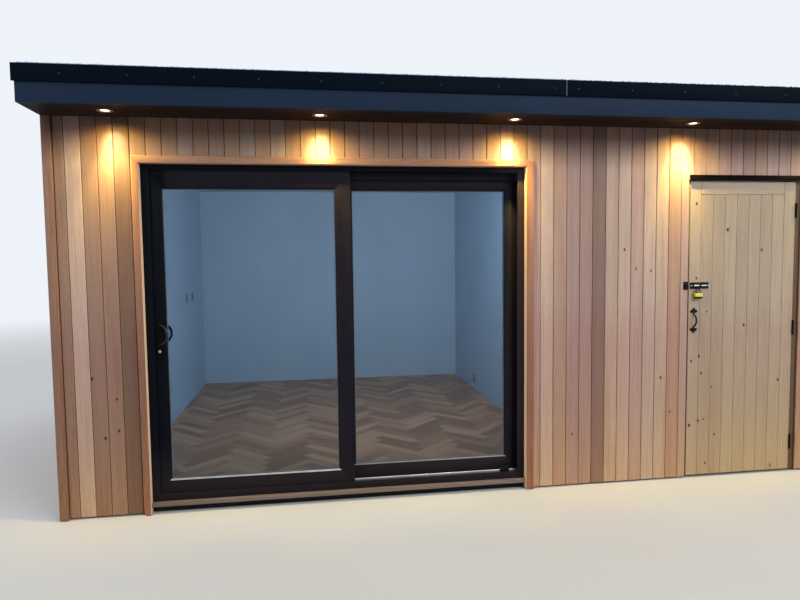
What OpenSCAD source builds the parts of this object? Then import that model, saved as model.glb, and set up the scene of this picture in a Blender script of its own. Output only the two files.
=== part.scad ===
// Garden office pod: cedar cladding, a flat roof with a lit front overhang,
// a two panel sliding glass door and a boarded store door beside it.
// Millimetres, +Z up. The origin is on the ground under the middle of the whole pod.

/* [Walls] */
// Length over the cladding, left to right
wall_length = 5324; // [4900:1:6400]
// Depth over the cladding, front to back
wall_depth = 3870; // [2600:10:4600]
// Thickness of an insulated wall behind its cladding
core_thickness = 171; // [150:1:220]
// Thickness of the upright cladding boards
cladding_thickness = 19; // [15:1:24]
// Gap between the ground and the lower edge of the cladding
cladding_gap = 10; // [8:1:14]
// Width of each leg of a corner trim
corner_trim_width = 50; // [40:1:70]
// How far the corner and doorway trims stand out of the cladding
trim_proud = 20; // [12:1:26]
// Gap between the ground and the lower end of a trim
trim_gap = 4; // [2:1:8]
// Hairline gap where two like boards or bars meet
hairline = 0.4; // [0.3:0.1:0.8]

/* [Base and floor] */
// Height of the base under the walls
base_height = 44; // [40:1:60]
// How far the base stands back from the face of the cladding
base_setback = 46; // [42:1:70]
// Thickness of the floor finish
floor_thickness = 14; // [10:1:20]

/* [Rooms] */
// Clear length of the office, from its left wall to the partition
office_length = 3017; // [2700:1:3050]
// Thickness of the partition between office and store
partition_thickness = 97; // [75:1:120]
// Thickness of the ceiling lining
ceiling_thickness = 24; // [15:1:40]

/* [Roof] */
// Height of the underside of the soffit
soffit_height = 2308; // [2250:1:2400]
// Thickness of the soffit boards
soffit_thickness = 12; // [10:1:18]
// How far the fascia stands in front of the cladding
front_overhang = 280; // [220:1:400]
// How far the roof deck passes the side cladding
side_overhang = 12; // [10:1:40]
// How far the roof deck passes the back cladding
rear_overhang = 30; // [20:1:60]
// Thickness of the fascia boards
fascia_thickness = 18; // [15:1:25]
// Thickness of the insulated roof deck
deck_thickness = 128; // [110:1:160]
// Height of the kerb's inner edge above the roof deck
kerb_height = 64; // [56:1:80]
// How much lower the kerb's outer edge is than its inner edge
kerb_fall = 10; // [2:1:14]
// Width of the kerb on top of the roof
kerb_width = 56; // [50:1:90]
// How far the kerb trim stands out of the fascia
kerb_proud = 12; // [8:1:20]
// Height of the kerb trim's face
kerb_face_height = 90; // [80:1:110]
// Distance from the left end of the roof to the joint in the front kerb trim
kerb_joint_distance = 2962; // [2000:1:3400]
// Width of the joint in the front kerb trim
kerb_joint_width = 5; // [1:0.5:8]
// Height of the roof covering above the deck at its front edge
covering_front_height = 42; // [30:1:44]
// Height of the roof covering above the deck at its back edge
covering_back_height = 4; // [3:1:10]
// How far the roof covering passes the rear fascia
covering_lap = 6; // [3:1:12]

/* [Gutter] */
// Width of the gutter, front to back
gutter_width = 112; // [90:1:130]
// Height of the gutter
gutter_height = 74; // [60:1:90]
// Thickness of the gutter's wall
gutter_wall = 4; // [3:1:6]
// Gap between the roof covering and the top of the gutter
gutter_drop = 22; // [15:1:40]
// Distance of the downpipe's centre from the gutter's right end
downpipe_inset = 120; // [80:1:300]
// Diameter of the downpipe
downpipe_diameter = 68; // [50:1:80]
// Height of the downpipe's lower end above the ground
downpipe_gap = 90; // [60:1:200]
// Thickness of the strap that holds the downpipe
strap_thickness = 4; // [3:1:8]
// Height of the strap that holds the downpipe
strap_height = 28; // [20:1:40]
// Distance of the straps from the ends of the downpipe
strap_inset = 250; // [120:10:500]

/* [Soffit lights] */
// Number of lights in the soffit
light_count = 5; // [3:1:5]
// Distance between two lights
light_spacing = 1152; // [900:1:1250]
// Distance from the face of the fascia to the middle of the lights
light_setback = 142; // [90:1:200]
// Diameter of a light's body
light_diameter = 68; // [50:1:80]
// Diameter of a light's rim
light_rim_diameter = 84; // [82:1:100]
// Thickness of a light's rim
light_rim_thickness = 3; // [2:0.5:5]
// Clearance round a light's body
light_clearance = 0.3; // [0.2:0.1:0.6]

/* [Sliding doorway] */
// Distance from the left end of the cladding to the doorway's trim
slider_margin = 450; // [400:1:470]
// Width of the trim left of the sliding doorway
surround_left_width = 34; // [30:1:60]
// Width of the trim right of the sliding doorway
surround_right_width = 50; // [40:1:60]
// Height of the trim over the sliding doorway
surround_head = 42; // [36:1:60]
// Clear width between the trims
opening_width = 2295; // [2200:1:2340]
// Distance from the soffit down to the doorway's head
opening_drop = 259; // [225:1:330]
// Thickness of the sill under the door frame
sill_thickness = 23; // [14:1:26]
// How far the sill's nose stands in front of the cladding
sill_nose = 2; // [0:1:10]
// Height of the sill's nose
sill_nose_height = 24; // [12:1:26]
// Thickness of the ribbed vent strip under the sill
vent_thickness = 14; // [8:1:16]
// Number of ribs in the vent strip
vent_ribs = 3; // [2:1:4]

/* [Sliding door frame] */
// Distance from the face of the cladding back to the door frame
frame_setback = 23; // [20:1:60]
// Depth of the outer frame
frame_depth = 112; // [108:1:124]
// Width of the outer frame's face at its sides
frame_side_face = 45; // [38:1:52]
// Height of the outer frame's face at its head
frame_head_face = 30; // [26:1:40]
// Height of the outer frame's face at its foot
frame_foot_face = 44; // [42:1:54]
// Thickness of the outer frame's front and back lips
lip_thickness = 8; // [6:1:9]
// Thickness of the outer frame's web
web_thickness = 12; // [8:1:13]
// Running gap between a moving piece and its neighbours
running_gap = 6; // [5.5:0.5:7]
// Thickness of a sash
sash_thickness = 38; // [34:1:39]
// How far a sash reaches behind the outer frame's lips
sash_cover = 9; // [6:1:9]
// Width of the sliding sash
sliding_sash_width = 1166; // [1120:1:1200]
// Width of a closing stile
stile_width = 60; // [55:1:80]
// Width of the sliding sash's meeting stile
meeting_stile_width = 78; // [70:1:84]
// How far the fixed sash reaches behind the sliding one
sash_overlap = 68; // [60:1:72]
// Thickness of the interlock fins between the meeting stiles
interlock_thickness = 4; // [3:1:5]
// Width of the fixed sash's meeting stile
fixed_meeting_width = 65; // [60:1:70]
// Width of the fixed sash's outer stile
fixed_stile_width = 83; // [75:1:95]
// Height of the sliding sash's bottom rail above the outer frame's lip
bottom_rail_height = 66; // [55:1:90]
// Height of the fixed sash's bottom rail above the outer frame's lip
fixed_rail_height = 72; // [55:1:90]
// Height of both top rails below the outer frame's lip
top_rail_height = 93; // [86:1:130]
// How far the head's middle web comes down below the outer frame's lip
head_web_drop = 42; // [30:1:50]
// Height of the groove between the middle web and the fixed sash
fixed_groove = 21; // [10:1:24]
// Width of the step along the edge of the fixed sash's outer stile
fixed_step_width = 44; // [30:1:46]
// Depth of the groove and the step in the fixed sash's face
fixed_step_depth = 16; // [8:1:18]
// Width of the sloping glazing bead
bead_width = 14; // [12:1:18]
// How far the glass reaches into the sash behind the bead
glass_edge = 12; // [8:1:12]
// Thickness of a double glazed pane
glass_thickness = 20; // [16:1:24]
// Thickness of the track rail
track_thickness = 5; // [4:1:6]
// Height of the track rail above the outer frame's web
track_height = 41; // [40:1:44]
// Width of the groove over the track rail
track_groove = 17; // [16:1:20]
// Diameter of a roller
roller_diameter = 20; // [18:1:24]
// Distance of a roller from the end of the sash
roller_inset = 160; // [100:10:300]
// Length of the stop at the end of the track
stop_length = 60; // [40:1:80]
// Distance from the right lip to the stop
stop_inset = 46; // [40:1:80]
// Height of the stop above the track rail
stop_rise = 22; // [14:1:30]

/* [Sliding door handles] */
// Height of the middle of the handles above the ground
handle_height = 1062; // [900:1:1200]
// Diameter of the bow, measured on its centre line
bow_diameter = 116; // [90:1:130]
// Diameter of the bow's bar
bow_bar = 14; // [12:1:16]
// Angle at which the bow stands off the door
bow_angle = 30; // [25:1:50]
// Width of the handle's plate
handle_plate_width = 34; // [30:1:40]
// Height of the handle's plate
handle_plate_height = 214; // [200:1:240]
// Thickness of the handle's plate
handle_plate_thickness = 8; // [6:1:10]
// Distance from the bow's middle down to the lock
lock_drop = 99; // [92:1:105]
// Diameter of the lock
lock_diameter = 17; // [14:1:20]
// How far the lock stands out of the plate
lock_proud = 4; // [2:1:6]

/* [Store doorway] */
// Distance from the right end of the cladding to the hinge jamb
store_margin = 614; // [500:1:700]
// Width of the store door's leaf
leaf_width = 763; // [700:1:830]
// Height of the leaf's lower edge above the ground
leaf_bottom = 18; // [16:1:24]
// Distance from the soffit down to the top of the leaf
leaf_drop = 338; // [300:1:420]
// Thickness of the leaf over its frame
leaf_thickness = 42; // [38:1:42]
// Thickness of the boards in the leaf
leaf_board_thickness = 20; // [16:1:22]
// Width of the leaf's stile on the bolt side
leaf_bolt_stile = 78; // [70:1:95]
// Width of the leaf's stile on the hinge side
leaf_hinge_stile = 82; // [70:1:95]
// Height of the leaf's top rail
leaf_top_rail = 85; // [75:1:120]
// Height of the leaf's middle rail
leaf_middle_rail = 150; // [120:1:180]
// Height of the leaf's bottom rail
leaf_bottom_rail = 170; // [140:1:200]
// Width of the leaf's braces
leaf_brace = 85; // [70:1:100]
// Gap at the bolt side of the leaf
leaf_latch_gap = 7; // [7:0.5:9]
// Gap at the hinge side of the leaf
leaf_hinge_gap = 8; // [8:0.5:10]
// Gap above the leaf
leaf_top_gap = 8; // [6:0.5:10]
// Gap behind the leaf
leaf_back_gap = 6; // [5.5:0.5:8]
// Width of the jambs and height of the head of the store door's frame
store_jamb = 40; // [34:1:50]
// How far the hinge jamb stands back from the cladding's face
hinge_jamb_setback = 14; // [10:1:18]
// How far the door stops reach behind the leaf
door_stop = 14; // [12:1:18]
// Thickness of the door stops
door_stop_thickness = 18; // [14:1:24]
// Height of the drip bar over the store door
drip_height = 34; // [28:1:40]
// How far the drip bar stands out at its foot
drip_depth = 22; // [16:1:30]
// Gap between the leaf's top and the drip bar
drip_gap = 6; // [5.5:0.5:8]

/* [Store door hinges] */
// Height of a hinge
hinge_height = 100; // [75:1:120]
// Distance of the outer hinges from the ends of the leaf
hinge_inset = 190; // [150:10:300]
// Radius of a hinge knuckle
knuckle_radius = 6; // [5:0.25:6.5]
// Radius of a hinge pin
pin_radius = 3; // [2.5:0.1:3.5]
// Clearance between pin and knuckle, and between knuckles
pin_clearance = 0.35; // [0.3:0.05:0.6]
// Thickness of a hinge plate
hinge_plate = 2.5; // [2:0.1:3]
// Depth of a hinge plate
hinge_plate_depth = 32; // [28:1:36]

/* [Store door bolt and handle] */
// Height of the bolt above the ground
bolt_height = 1290; // [1100:1:1400]
// Length of the bolt's plate
bolt_plate_length = 133; // [128:1:160]
// Height of the bolt's plate
bolt_plate_height = 42; // [38:1:50]
// Distance from the leaf's edge to the bolt's plate
bolt_plate_inset = 5; // [4:1:12]
// Thickness of the black plates
plate_thickness = 3; // [2:0.5:4]
// Radius of the bolt's rod
rod_radius = 5; // [4:0.5:6]
// Distance from the leaf's face to the middle of the rod
rod_offset = 12; // [10:0.5:14]
// Clearance round the rod
rod_clearance = 0.3; // [0.3:0.1:0.6]
// Width of the guides round the rod
guide_width = 12; // [8:1:14]
// Distance from the end of the bolt's plate to its first guide
guide_inset = 8; // [2:1:14]
// Distance between the two guides
guide_spacing = 52; // [44:1:54]
// Distance from the end of the bolt's plate to the rod's knob
knob_distance = 116; // [113:1:122]
// Length of the rod's knob
knob_length = 18; // [12:1:24]
// Distance from the end of the bolt's plate to the staple
staple_inset = 50; // [34:1:60]
// Thickness of the staple
staple_thickness = 4; // [3:1:6]
// Distance from the rod down to the top of the shackle
staple_drop = 24; // [22:1:30]
// Distance from the rod out to the shackle
staple_reach = 8; // [4:1:12]
// Distance from the leaf's edge to the end of the drawn rod
rod_setback = 3; // [1:1:8]
// Width of the keep's plate
keep_width = 33; // [28:1:40]
// Height of the keep's plate
keep_height = 53; // [44:1:60]
// Clearance round the rod in the keep
keep_clearance = 1; // [0.6:0.1:2]
// Width of the padlock's body
padlock_width = 50; // [44:1:60]
// Height of the padlock's body
padlock_height = 38; // [30:1:42]
// Thickness of the padlock's body
padlock_thickness = 20; // [16:1:22]
// Radius of the shackle's bend, on its centre line
shackle_bend = 12; // [11:0.5:16]
// Radius of the shackle's bar
shackle_radius = 3.5; // [3:0.25:4]
// Distance from the bolt down to the top of the pull handle
pull_drop = 147; // [110:1:260]
// Height of the pull handle
pull_height = 166; // [150:1:190]
// Distance from the leaf's edge to the middle of the pull handle
pull_inset = 36; // [32:1:39]
// How far the pull handle's bow stands out
pull_reach = 38; // [34:1:45]
// Thickness of the pull handle's bar
pull_bar = 11; // [9:1:13]
// Radius of a lobe on the pull handle's ends
lobe_radius = 10; // [7:0.5:11]

/* [Sockets] */
// Width and height of a socket plate
socket_size = 86; // [80:1:90]
// Thickness of a socket plate
socket_thickness = 9; // [6:1:12]
// Height of the left wall's sockets above the ground
socket_high = 1120; // [900:1:1200]
// Height of the partition's socket above the ground
socket_low = 170; // [150:1:450]
// Distance from the back wall to the nearest socket on the left wall
socket_back = 589; // [40:1:900]
// Gap between the two sockets on the left wall
socket_gap = 215; // [10:1:300]
// Distance from the back wall to the socket on the partition
socket_partition_back = 930; // [200:10:1200]

/* [Hidden] */
$fn = 48;
cut = 1;

half_length = wall_length / 2;
wall_thickness = cladding_thickness + core_thickness;
core_half = half_length - cladding_thickness;
inner_half = half_length - wall_thickness;
back_inner = wall_depth - wall_thickness;
wall_top = soffit_height + soffit_thickness;
deck_top = wall_top + deck_thickness;
kerb_top = deck_top + kerb_height;
deck_half = half_length + side_overhang;
deck_front = -(front_overhang - fascia_thickness);
deck_back = wall_depth + rear_overhang;
fascia_half = deck_half + fascia_thickness;
fascia_back = deck_back + fascia_thickness;
kerb_half = fascia_half + kerb_proud;
kerb_front = -front_overhang - kerb_proud;
gutter_back = fascia_back + gutter_width;
front_face = -(kerb_front + gutter_back) / 2;
floor_top = base_height + floor_thickness;
partition_left = office_length - inner_half;
partition_right = partition_left + partition_thickness;

opening_left = -half_length + slider_margin + surround_left_width;
opening_right = opening_left + opening_width;
surround_left = opening_left - surround_left_width;
surround_right = opening_right + surround_right_width;
sill_top = base_height + sill_thickness;

opening_top = soffit_height - opening_drop;
surround_top = opening_top + surround_head;
frame_front = frame_setback;
frame_back = frame_front + frame_depth;
lip_left = opening_left + frame_side_face;
lip_right = opening_right - frame_side_face;
lip_bottom = sill_top + frame_foot_face;
lip_top = opening_top - frame_head_face;
bottom_rail_top = lip_bottom + bottom_rail_height;
fixed_rail_top = lip_bottom + fixed_rail_height;
head_web_bottom = lip_top - head_web_drop;
top_rail_bottom = lip_top - top_rail_height;
web_left = opening_left + web_thickness;
web_right = opening_right - web_thickness;
web_bottom = sill_top + web_thickness;
web_top = opening_top - web_thickness;
sliding_front = frame_front + lip_thickness + running_gap;
sliding_back = sliding_front + sash_thickness;
fixed_back = frame_back - lip_thickness;
fixed_front = fixed_back - sash_thickness;
sliding_left = lip_left - sash_cover;
sliding_right = sliding_left + sliding_sash_width;
sliding_top = lip_top + sash_cover;
track_top = web_bottom + track_height;
sliding_bottom = lip_bottom - 2 * sash_cover;
track_middle = sliding_front + sash_thickness / 2;
fixed_left = sliding_right - sash_overlap;
stop_right = lip_right - stop_inset;

hinge_jamb_right = half_length - store_margin;
hinge_jamb_left = hinge_jamb_right - store_jamb;
leaf_right = hinge_jamb_left - leaf_hinge_gap;
leaf_left = leaf_right - leaf_width;
latch_edge = leaf_left - leaf_latch_gap;
latch_jamb_left = latch_edge - store_jamb;
leaf_top = soffit_height - leaf_drop;
leaf_height = leaf_top - leaf_bottom;
store_head = leaf_top + leaf_top_gap;
store_head_top = store_head + store_jamb;
drip_bottom = leaf_top + drip_gap;
stop_front = leaf_thickness + leaf_back_gap;
pin_x = leaf_right + leaf_hinge_gap / 2;
pin_y = -knuckle_radius;
hinge_levels = [leaf_bottom + hinge_inset, leaf_bottom + leaf_height / 2, leaf_top - hinge_inset];
knuckle_height = hinge_height / 3;

bolt_plate_left = leaf_left + bolt_plate_inset;
guide_front = -rod_offset - rod_radius - plate_thickness;
staple_x = bolt_plate_left + staple_inset;
staple_y = -rod_offset - staple_reach;
crown_z = bolt_height - staple_drop;
padlock_top = crown_z - shackle_bend - 11;
pull_x = leaf_left + pull_inset;
pull_bottom = bolt_height - pull_drop - pull_height;

// Moves a child from the wall's own frame, where the face of the front cladding is Y 0
module place() {
    translate([0, front_face, 0])
        children();
}

// Block between two corners
module block(low, high) {
    translate(low)
        cube(high - low);
}

// Bar along Y with a round section
module bar_y(x, z, y0, y1, radius) {
    translate([x, y0, z])
        rotate([-90, 0, 0])
            cylinder(h = y1 - y0, r = radius);
}

// Bar along X with a round section
module bar_x(y, z, x0, x1, radius) {
    translate([x0, y, z])
        rotate([0, 90, 0])
            cylinder(h = x1 - x0, r = radius);
}

// Thin sloping cut across a corner of a ring of bars, from its outer to its inner corner
module mitre(outer, inner, y0, y1) {
    run = inner - outer;
    reach = norm(run);
    translate([outer[0], y0 - cut, outer[1]])
        rotate([0, -atan2(run[1], run[0]), 0])
            translate([-reach, 0, -hairline / 2])
                cube([3 * reach, y1 - y0 + 2 * cut, hairline]);
}

module mitres(outer_low, outer_high, inner_low, inner_high, y0, y1) {
    mitre(outer_low, inner_low, y0, y1);
    mitre(outer_high, inner_high, y0, y1);
    mitre([outer_low[0], outer_high[1]], [inner_low[0], inner_high[1]], y0, y1);
    mitre([outer_high[0], outer_low[1]], [inner_high[0], inner_low[1]], y0, y1);
}

// Base, floor and walls

module floor_base() {
    color("dimgray") place()
        block([-half_length + base_setback, base_setback, 0],
            [half_length - base_setback, wall_depth - base_setback, base_height]);
}

module floor_finish() {
    color("burlywood") place() {
        block([-inner_half, wall_thickness, base_height], [partition_left, back_inner, floor_top]);
        block([partition_right, wall_thickness, base_height], [inner_half, back_inner, floor_top]);
    }
}

module pier(x0, x1) {
    block([x0, cladding_thickness, base_height], [x1, wall_thickness, wall_top]);
}

module front_wall_piers() {
    color("white") place() {
        pier(-core_half, surround_left);
        pier(surround_right, latch_jamb_left);
        pier(hinge_jamb_right, core_half);
    }
}

module front_wall_lintels() {
    color("white") place() {
        block([surround_left, cladding_thickness, surround_top],
            [surround_right, wall_thickness, wall_top]);
        block([latch_jamb_left, cladding_thickness, store_head_top],
            [hinge_jamb_right, wall_thickness, wall_top]);
    }
}

module side_walls() {
    color("white") place()
        for (side = [-1, 1])
            translate([side * (inner_half + core_thickness / 2) - core_thickness / 2, 0, 0])
                block([0, wall_thickness, base_height], [core_thickness, back_inner, wall_top]);
}

module back_wall() {
    color("white") place()
        block([-core_half, back_inner, base_height],
            [core_half, wall_depth - cladding_thickness, wall_top]);
}

module partition_wall() {
    color("white") place()
        block([partition_left, wall_thickness, base_height],
            [partition_right, back_inner, wall_top]);
}

module ceiling() {
    color("white") place() {
        block([-inner_half, wall_thickness, wall_top - ceiling_thickness],
            [partition_left, back_inner, wall_top]);
        block([partition_right, wall_thickness, wall_top - ceiling_thickness],
            [inner_half, back_inner, wall_top]);
    }
}

// Cladding and trims

module front_panel(x0, x1, z0) {
    block([x0 + hairline / 2, 0, z0], [x1 - hairline / 2, cladding_thickness, soffit_height]);
}

module front_cladding() {
    color("peru") place() {
        front_panel(-half_length, surround_left, cladding_gap);
        front_panel(surround_left, surround_right, surround_top);
        front_panel(surround_right, latch_edge, cladding_gap);
        front_panel(latch_edge, hinge_jamb_right, store_head);
        front_panel(hinge_jamb_right, half_length, cladding_gap);
    }
}

module side_cladding() {
    color("peru") place()
        for (side = [-1, 1])
            translate([side * (half_length - cladding_thickness / 2) - cladding_thickness / 2, 0, 0])
                block([0, cladding_thickness, cladding_gap],
                    [cladding_thickness, wall_depth - cladding_thickness, soffit_height]);
}

module back_cladding() {
    color("peru") place()
        block([-half_length, wall_depth - cladding_thickness, cladding_gap],
            [half_length, wall_depth, soffit_height]);
}

// L shaped corner board with its outer corner at the origin, legs along +X and +Y
module corner_trim() {
    translate([0, 0, trim_gap])
        linear_extrude(soffit_height - trim_gap)
            difference() {
                square(corner_trim_width);
                translate([trim_proud, trim_proud])
                    square(corner_trim_width);
            }
}

module corner_trims() {
    corner = half_length + trim_proud;
    color("peru") place()
        for (side = [0, 1])
            mirror([side, 0, 0]) {
                translate([-corner, -trim_proud, 0])
                    corner_trim();
                translate([-corner, wall_depth + trim_proud, 0])
                    mirror([0, 1, 0])
                        corner_trim();
            }
}

// Lining and trim of the sliding doorway, three boards mitred at the top
module slider_surround() {
    color("sienna") place()
        difference() {
            block([surround_left, -trim_proud, trim_gap], [surround_right, wall_thickness, surround_top]);
            block([opening_left, -trim_proud - cut, trim_gap - cut],
                [opening_right, wall_thickness + cut, opening_top]);
            block([surround_left - cut, base_setback - vent_thickness, trim_gap - cut],
                [surround_right + cut, wall_thickness + cut, base_height]);
            mitre([surround_left, surround_top], [opening_left, opening_top],
                -trim_proud, wall_thickness);
            mitre([surround_right, surround_top], [opening_right, opening_top],
                -trim_proud, wall_thickness);
        }
}

// Sliding door

module door_sill() {
    nose_top = sill_top - 1;
    throat = base_setback - vent_thickness - 8;
    color("rosybrown") place()
        translate([opening_left, 0, 0])
            rotate([90, 0, 90])
                linear_extrude(opening_width)
                    polygon([[-sill_nose, nose_top], [-sill_nose, nose_top - sill_nose_height],
                        [throat, nose_top - sill_nose_height], [throat, base_height],
                        [frame_back, base_height], [frame_back, sill_top],
                        [frame_front, sill_top]]);
}

module vent_strip() {
    rib = (base_height - trim_gap) / (2 * vent_ribs + 1);
    color("black") place()
        difference() {
            block([opening_left, base_setback - vent_thickness, trim_gap],
                [opening_right, base_setback, base_height]);
            for (i = [0 : vent_ribs - 1])
                block([opening_left - cut, base_setback - vent_thickness - cut,
                        trim_gap + (2 * i + 1) * rib],
                    [opening_right + cut, base_setback - vent_thickness / 2,
                        trim_gap + (2 * i + 2) * rib]);
        }
}

// Space for both sashes between the lips; a web comes down between them at the head
module outer_frame_channel() {
    difference() {
        block([web_left, frame_front + lip_thickness, web_bottom],
            [web_right, frame_back - lip_thickness, web_top]);
        block([web_left - cut, sliding_back + running_gap, head_web_bottom],
            [web_right + cut, fixed_front, web_top + cut]);
    }
}

module outer_frame() {
    color("darkslategray") place()
        difference() {
            block([opening_left, frame_front, sill_top], [opening_right, frame_back, opening_top]);
            block([lip_left, frame_front - cut, lip_bottom], [lip_right, frame_back + cut, lip_top]);
            outer_frame_channel();
            mitres([opening_left, sill_top], [opening_right, opening_top],
                [lip_left, lip_bottom], [lip_right, lip_top], frame_front, frame_back);
        }
}

module track_rail() {
    color("silver") place()
        block([web_left, track_middle - track_thickness / 2, web_bottom],
            [web_right, track_middle + track_thickness / 2, track_top]);
}

module track_stop() {
    half = track_groove / 2;
    clear = 0.3;
    color("black") place()
        difference() {
            union() {
                block([stop_right - stop_length, track_middle - half, web_bottom],
                    [stop_right, track_middle + half, track_top + stop_rise]);
                bar_x(track_middle, track_top + stop_rise / 2, stop_right - stop_length - 8,
                    stop_right - stop_length + cut, stop_rise / 3);
            }
            block([stop_right - stop_length - cut, track_middle - track_thickness / 2 - clear,
                    web_bottom - cut],
                [stop_right + cut, track_middle + track_thickness / 2 + clear, track_top + clear]);
        }
}

// Four mitred bars round a pane; the bead slopes back to the glass on the outer side
module sash(low, high, inner_low, inner_high, front) {
    recess = (sash_thickness - glass_thickness) / 2;
    bead = [bead_width, bead_width];
    edge = [bead_width - glass_edge, bead_width - glass_edge];
    difference() {
        block([low[0], front, low[1]], [high[0], front + sash_thickness, high[1]]);
        block([inner_low[0] + bead_width, front - cut, inner_low[1] + bead_width],
            [inner_high[0] - bead_width, front + sash_thickness + cut, inner_high[1] - bead_width]);
        block([inner_low[0] + edge[0], front + recess, inner_low[1] + edge[1]],
            [inner_high[0] - edge[0], front + recess + glass_thickness, inner_high[1] - edge[1]]);
        hull() {
            block([inner_low[0] - bead[0], front - recess - 0.01, inner_low[1] - bead[1]],
                [inner_high[0] + bead[0], front - recess, inner_high[1] + bead[1]]);
            block([inner_low[0] + bead[0], front + recess, inner_low[1] + bead[1]],
                [inner_high[0] - bead[0], front + recess + 0.01, inner_high[1] - bead[1]]);
        }
        mitres(low, high, inner_low + bead, inner_high - bead, front, front + sash_thickness);
    }
}

module pane(inner_low, inner_high, front) {
    recess = (sash_thickness - glass_thickness) / 2;
    edge = bead_width - glass_edge;
    block([inner_low[0] + edge, front + recess, inner_low[1] + edge],
        [inner_high[0] - edge, front + recess + glass_thickness, inner_high[1] - edge]);
}

// Upright fin between two depths, on a meeting stile
module interlock_fin(x, y0, y1) {
    block([x, y0, bottom_rail_top], [x + interlock_thickness, y1, top_rail_bottom]);
}

module fixed_sash() {
    color("darkslategray") place()
        difference() {
            union() {
                sash([fixed_left, web_bottom], [web_right, web_top],
                    [fixed_left + fixed_meeting_width, fixed_rail_top],
                    [web_right - fixed_stile_width, top_rail_bottom], fixed_front);
                interlock_fin(fixed_left + fixed_meeting_width / 2, sliding_back + running_gap,
                    fixed_front + cut);
            }
            block([fixed_left - cut, fixed_front - cut, head_web_bottom - fixed_groove],
                [web_right + cut, fixed_front + fixed_step_depth, head_web_bottom]);
            block([web_right - fixed_step_width, fixed_front - cut, web_bottom - cut],
                [web_right + cut, fixed_front + fixed_step_depth, head_web_bottom]);
        }
}

module fixed_glass() {
    color("lightsteelblue", 0.4) place()
        pane([fixed_left + fixed_meeting_width, fixed_rail_top],
            [web_right - fixed_stile_width, top_rail_bottom], fixed_front);
}

roller_positions = [sliding_left + roller_inset, sliding_right - roller_inset];
roller_z = track_top + running_gap / 20 + roller_diameter / 2;

module sliding_sash() {
    groove = track_groove / 2;
    pocket = roller_diameter / 2 + running_gap;
    color("darkslategray") place()
        difference() {
            union() {
                sash([sliding_left, sliding_bottom], [sliding_right, sliding_top],
                    [sliding_left + stile_width, bottom_rail_top],
                    [sliding_right - meeting_stile_width, top_rail_bottom], sliding_front);
                interlock_fin(sliding_right - interlock_thickness, sliding_back - cut,
                    fixed_front - running_gap);
            }
            block([sliding_left - cut, track_middle - groove, sliding_bottom - cut],
                [sliding_right + cut, track_middle + groove, track_top + running_gap]);
            for (x = roller_positions)
                block([x - pocket, track_middle - groove, sliding_bottom - cut],
                    [x + pocket, track_middle + groove, roller_z + roller_diameter / 2 + 2]);
        }
}

module sliding_glass() {
    color("lightsteelblue", 0.4) place()
        pane([sliding_left + stile_width, bottom_rail_top],
            [sliding_right - meeting_stile_width, top_rail_bottom], sliding_front);
}

// Rollers on their axles, in pockets of the bottom rail
module sash_rollers() {
    wheel = track_thickness / 2 + 2;
    color("silver") place()
        for (x = roller_positions) {
            bar_y(x, roller_z, track_middle - wheel, track_middle + wheel, roller_diameter / 2);
            bar_y(x, roller_z, track_middle - track_groove / 2, track_middle + track_groove / 2,
                roller_diameter / 6);
        }
}

handle_x = sliding_left + stile_width / 2 + 6;

// Plate with a round bow that leans over the glass, facing -Y, its back at Y 0
module bow_handle() {
    radius = bow_diameter / 2;
    difference() {
        union() {
            block([-handle_plate_width / 2, -handle_plate_thickness,
                    handle_plate_height / 3 - handle_plate_height],
                [handle_plate_width / 2, 0, handle_plate_height / 3]);
            translate([0, -handle_plate_thickness, 0])
                rotate([0, 0, -bow_angle])
                    rotate([90, 0, 0])
                        rotate([0, 0, -90])
                            rotate_extrude(angle = 180)
                                translate([radius, 0])
                                    circle(d = bow_bar);
        }
        block([-radius, 0, -handle_plate_height], [radius, radius, handle_plate_height]);
    }
}

module outside_handle() {
    color("black") place()
        translate([handle_x, sliding_front, handle_height])
            bow_handle();
}

module inside_handle() {
    color("black") place()
        translate([handle_x, sliding_back, handle_height])
            mirror([0, 1, 0])
                bow_handle();
}

module lock_cylinder() {
    face = sliding_front - handle_plate_thickness;
    color("silver") place()
        difference() {
            bar_y(handle_x, handle_height - lock_drop, face - lock_proud, face, lock_diameter / 2);
            block([handle_x - 1, face - lock_proud - cut, handle_height - lock_drop - 4],
                [handle_x + 1, face - lock_proud / 2, handle_height - lock_drop + 4]);
        }
}

// Store door

module store_jamb_post(x0, x1, y0, stop_x0, stop_x1) {
    block([x0, y0, cladding_gap], [x1, base_setback, store_head]);
    block([x0, base_setback - cut, base_height], [x1, wall_thickness, store_head]);
    block([stop_x0, stop_front, base_height], [stop_x1, stop_front + door_stop_thickness, store_head]);
}

module store_door_frame() {
    color("tan") place() {
        store_jamb_post(latch_jamb_left, latch_edge, cladding_thickness,
            latch_edge - cut, latch_edge + door_stop);
        store_jamb_post(hinge_jamb_left, hinge_jamb_right, hinge_jamb_setback,
            hinge_jamb_left - door_stop, hinge_jamb_left + cut);
        block([latch_jamb_left, cladding_thickness, store_head + hairline],
            [hinge_jamb_right, wall_thickness, store_head_top]);
        block([latch_edge + door_stop + hairline, stop_front, base_height],
            [hinge_jamb_left - door_stop - hairline, wall_thickness, sill_top]);
    }
}

module leaf_brace_bar(z0, z1) {
    low = leaf_left + leaf_bolt_stile;
    high = leaf_right - leaf_hinge_stile;
    translate([0, leaf_thickness, 0])
        rotate([90, 0, 0])
            linear_extrude(leaf_thickness - leaf_board_thickness)
                polygon([[high, z0], [high, z0 + leaf_brace], [low, z1], [low, z1 - leaf_brace]]);
}

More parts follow.
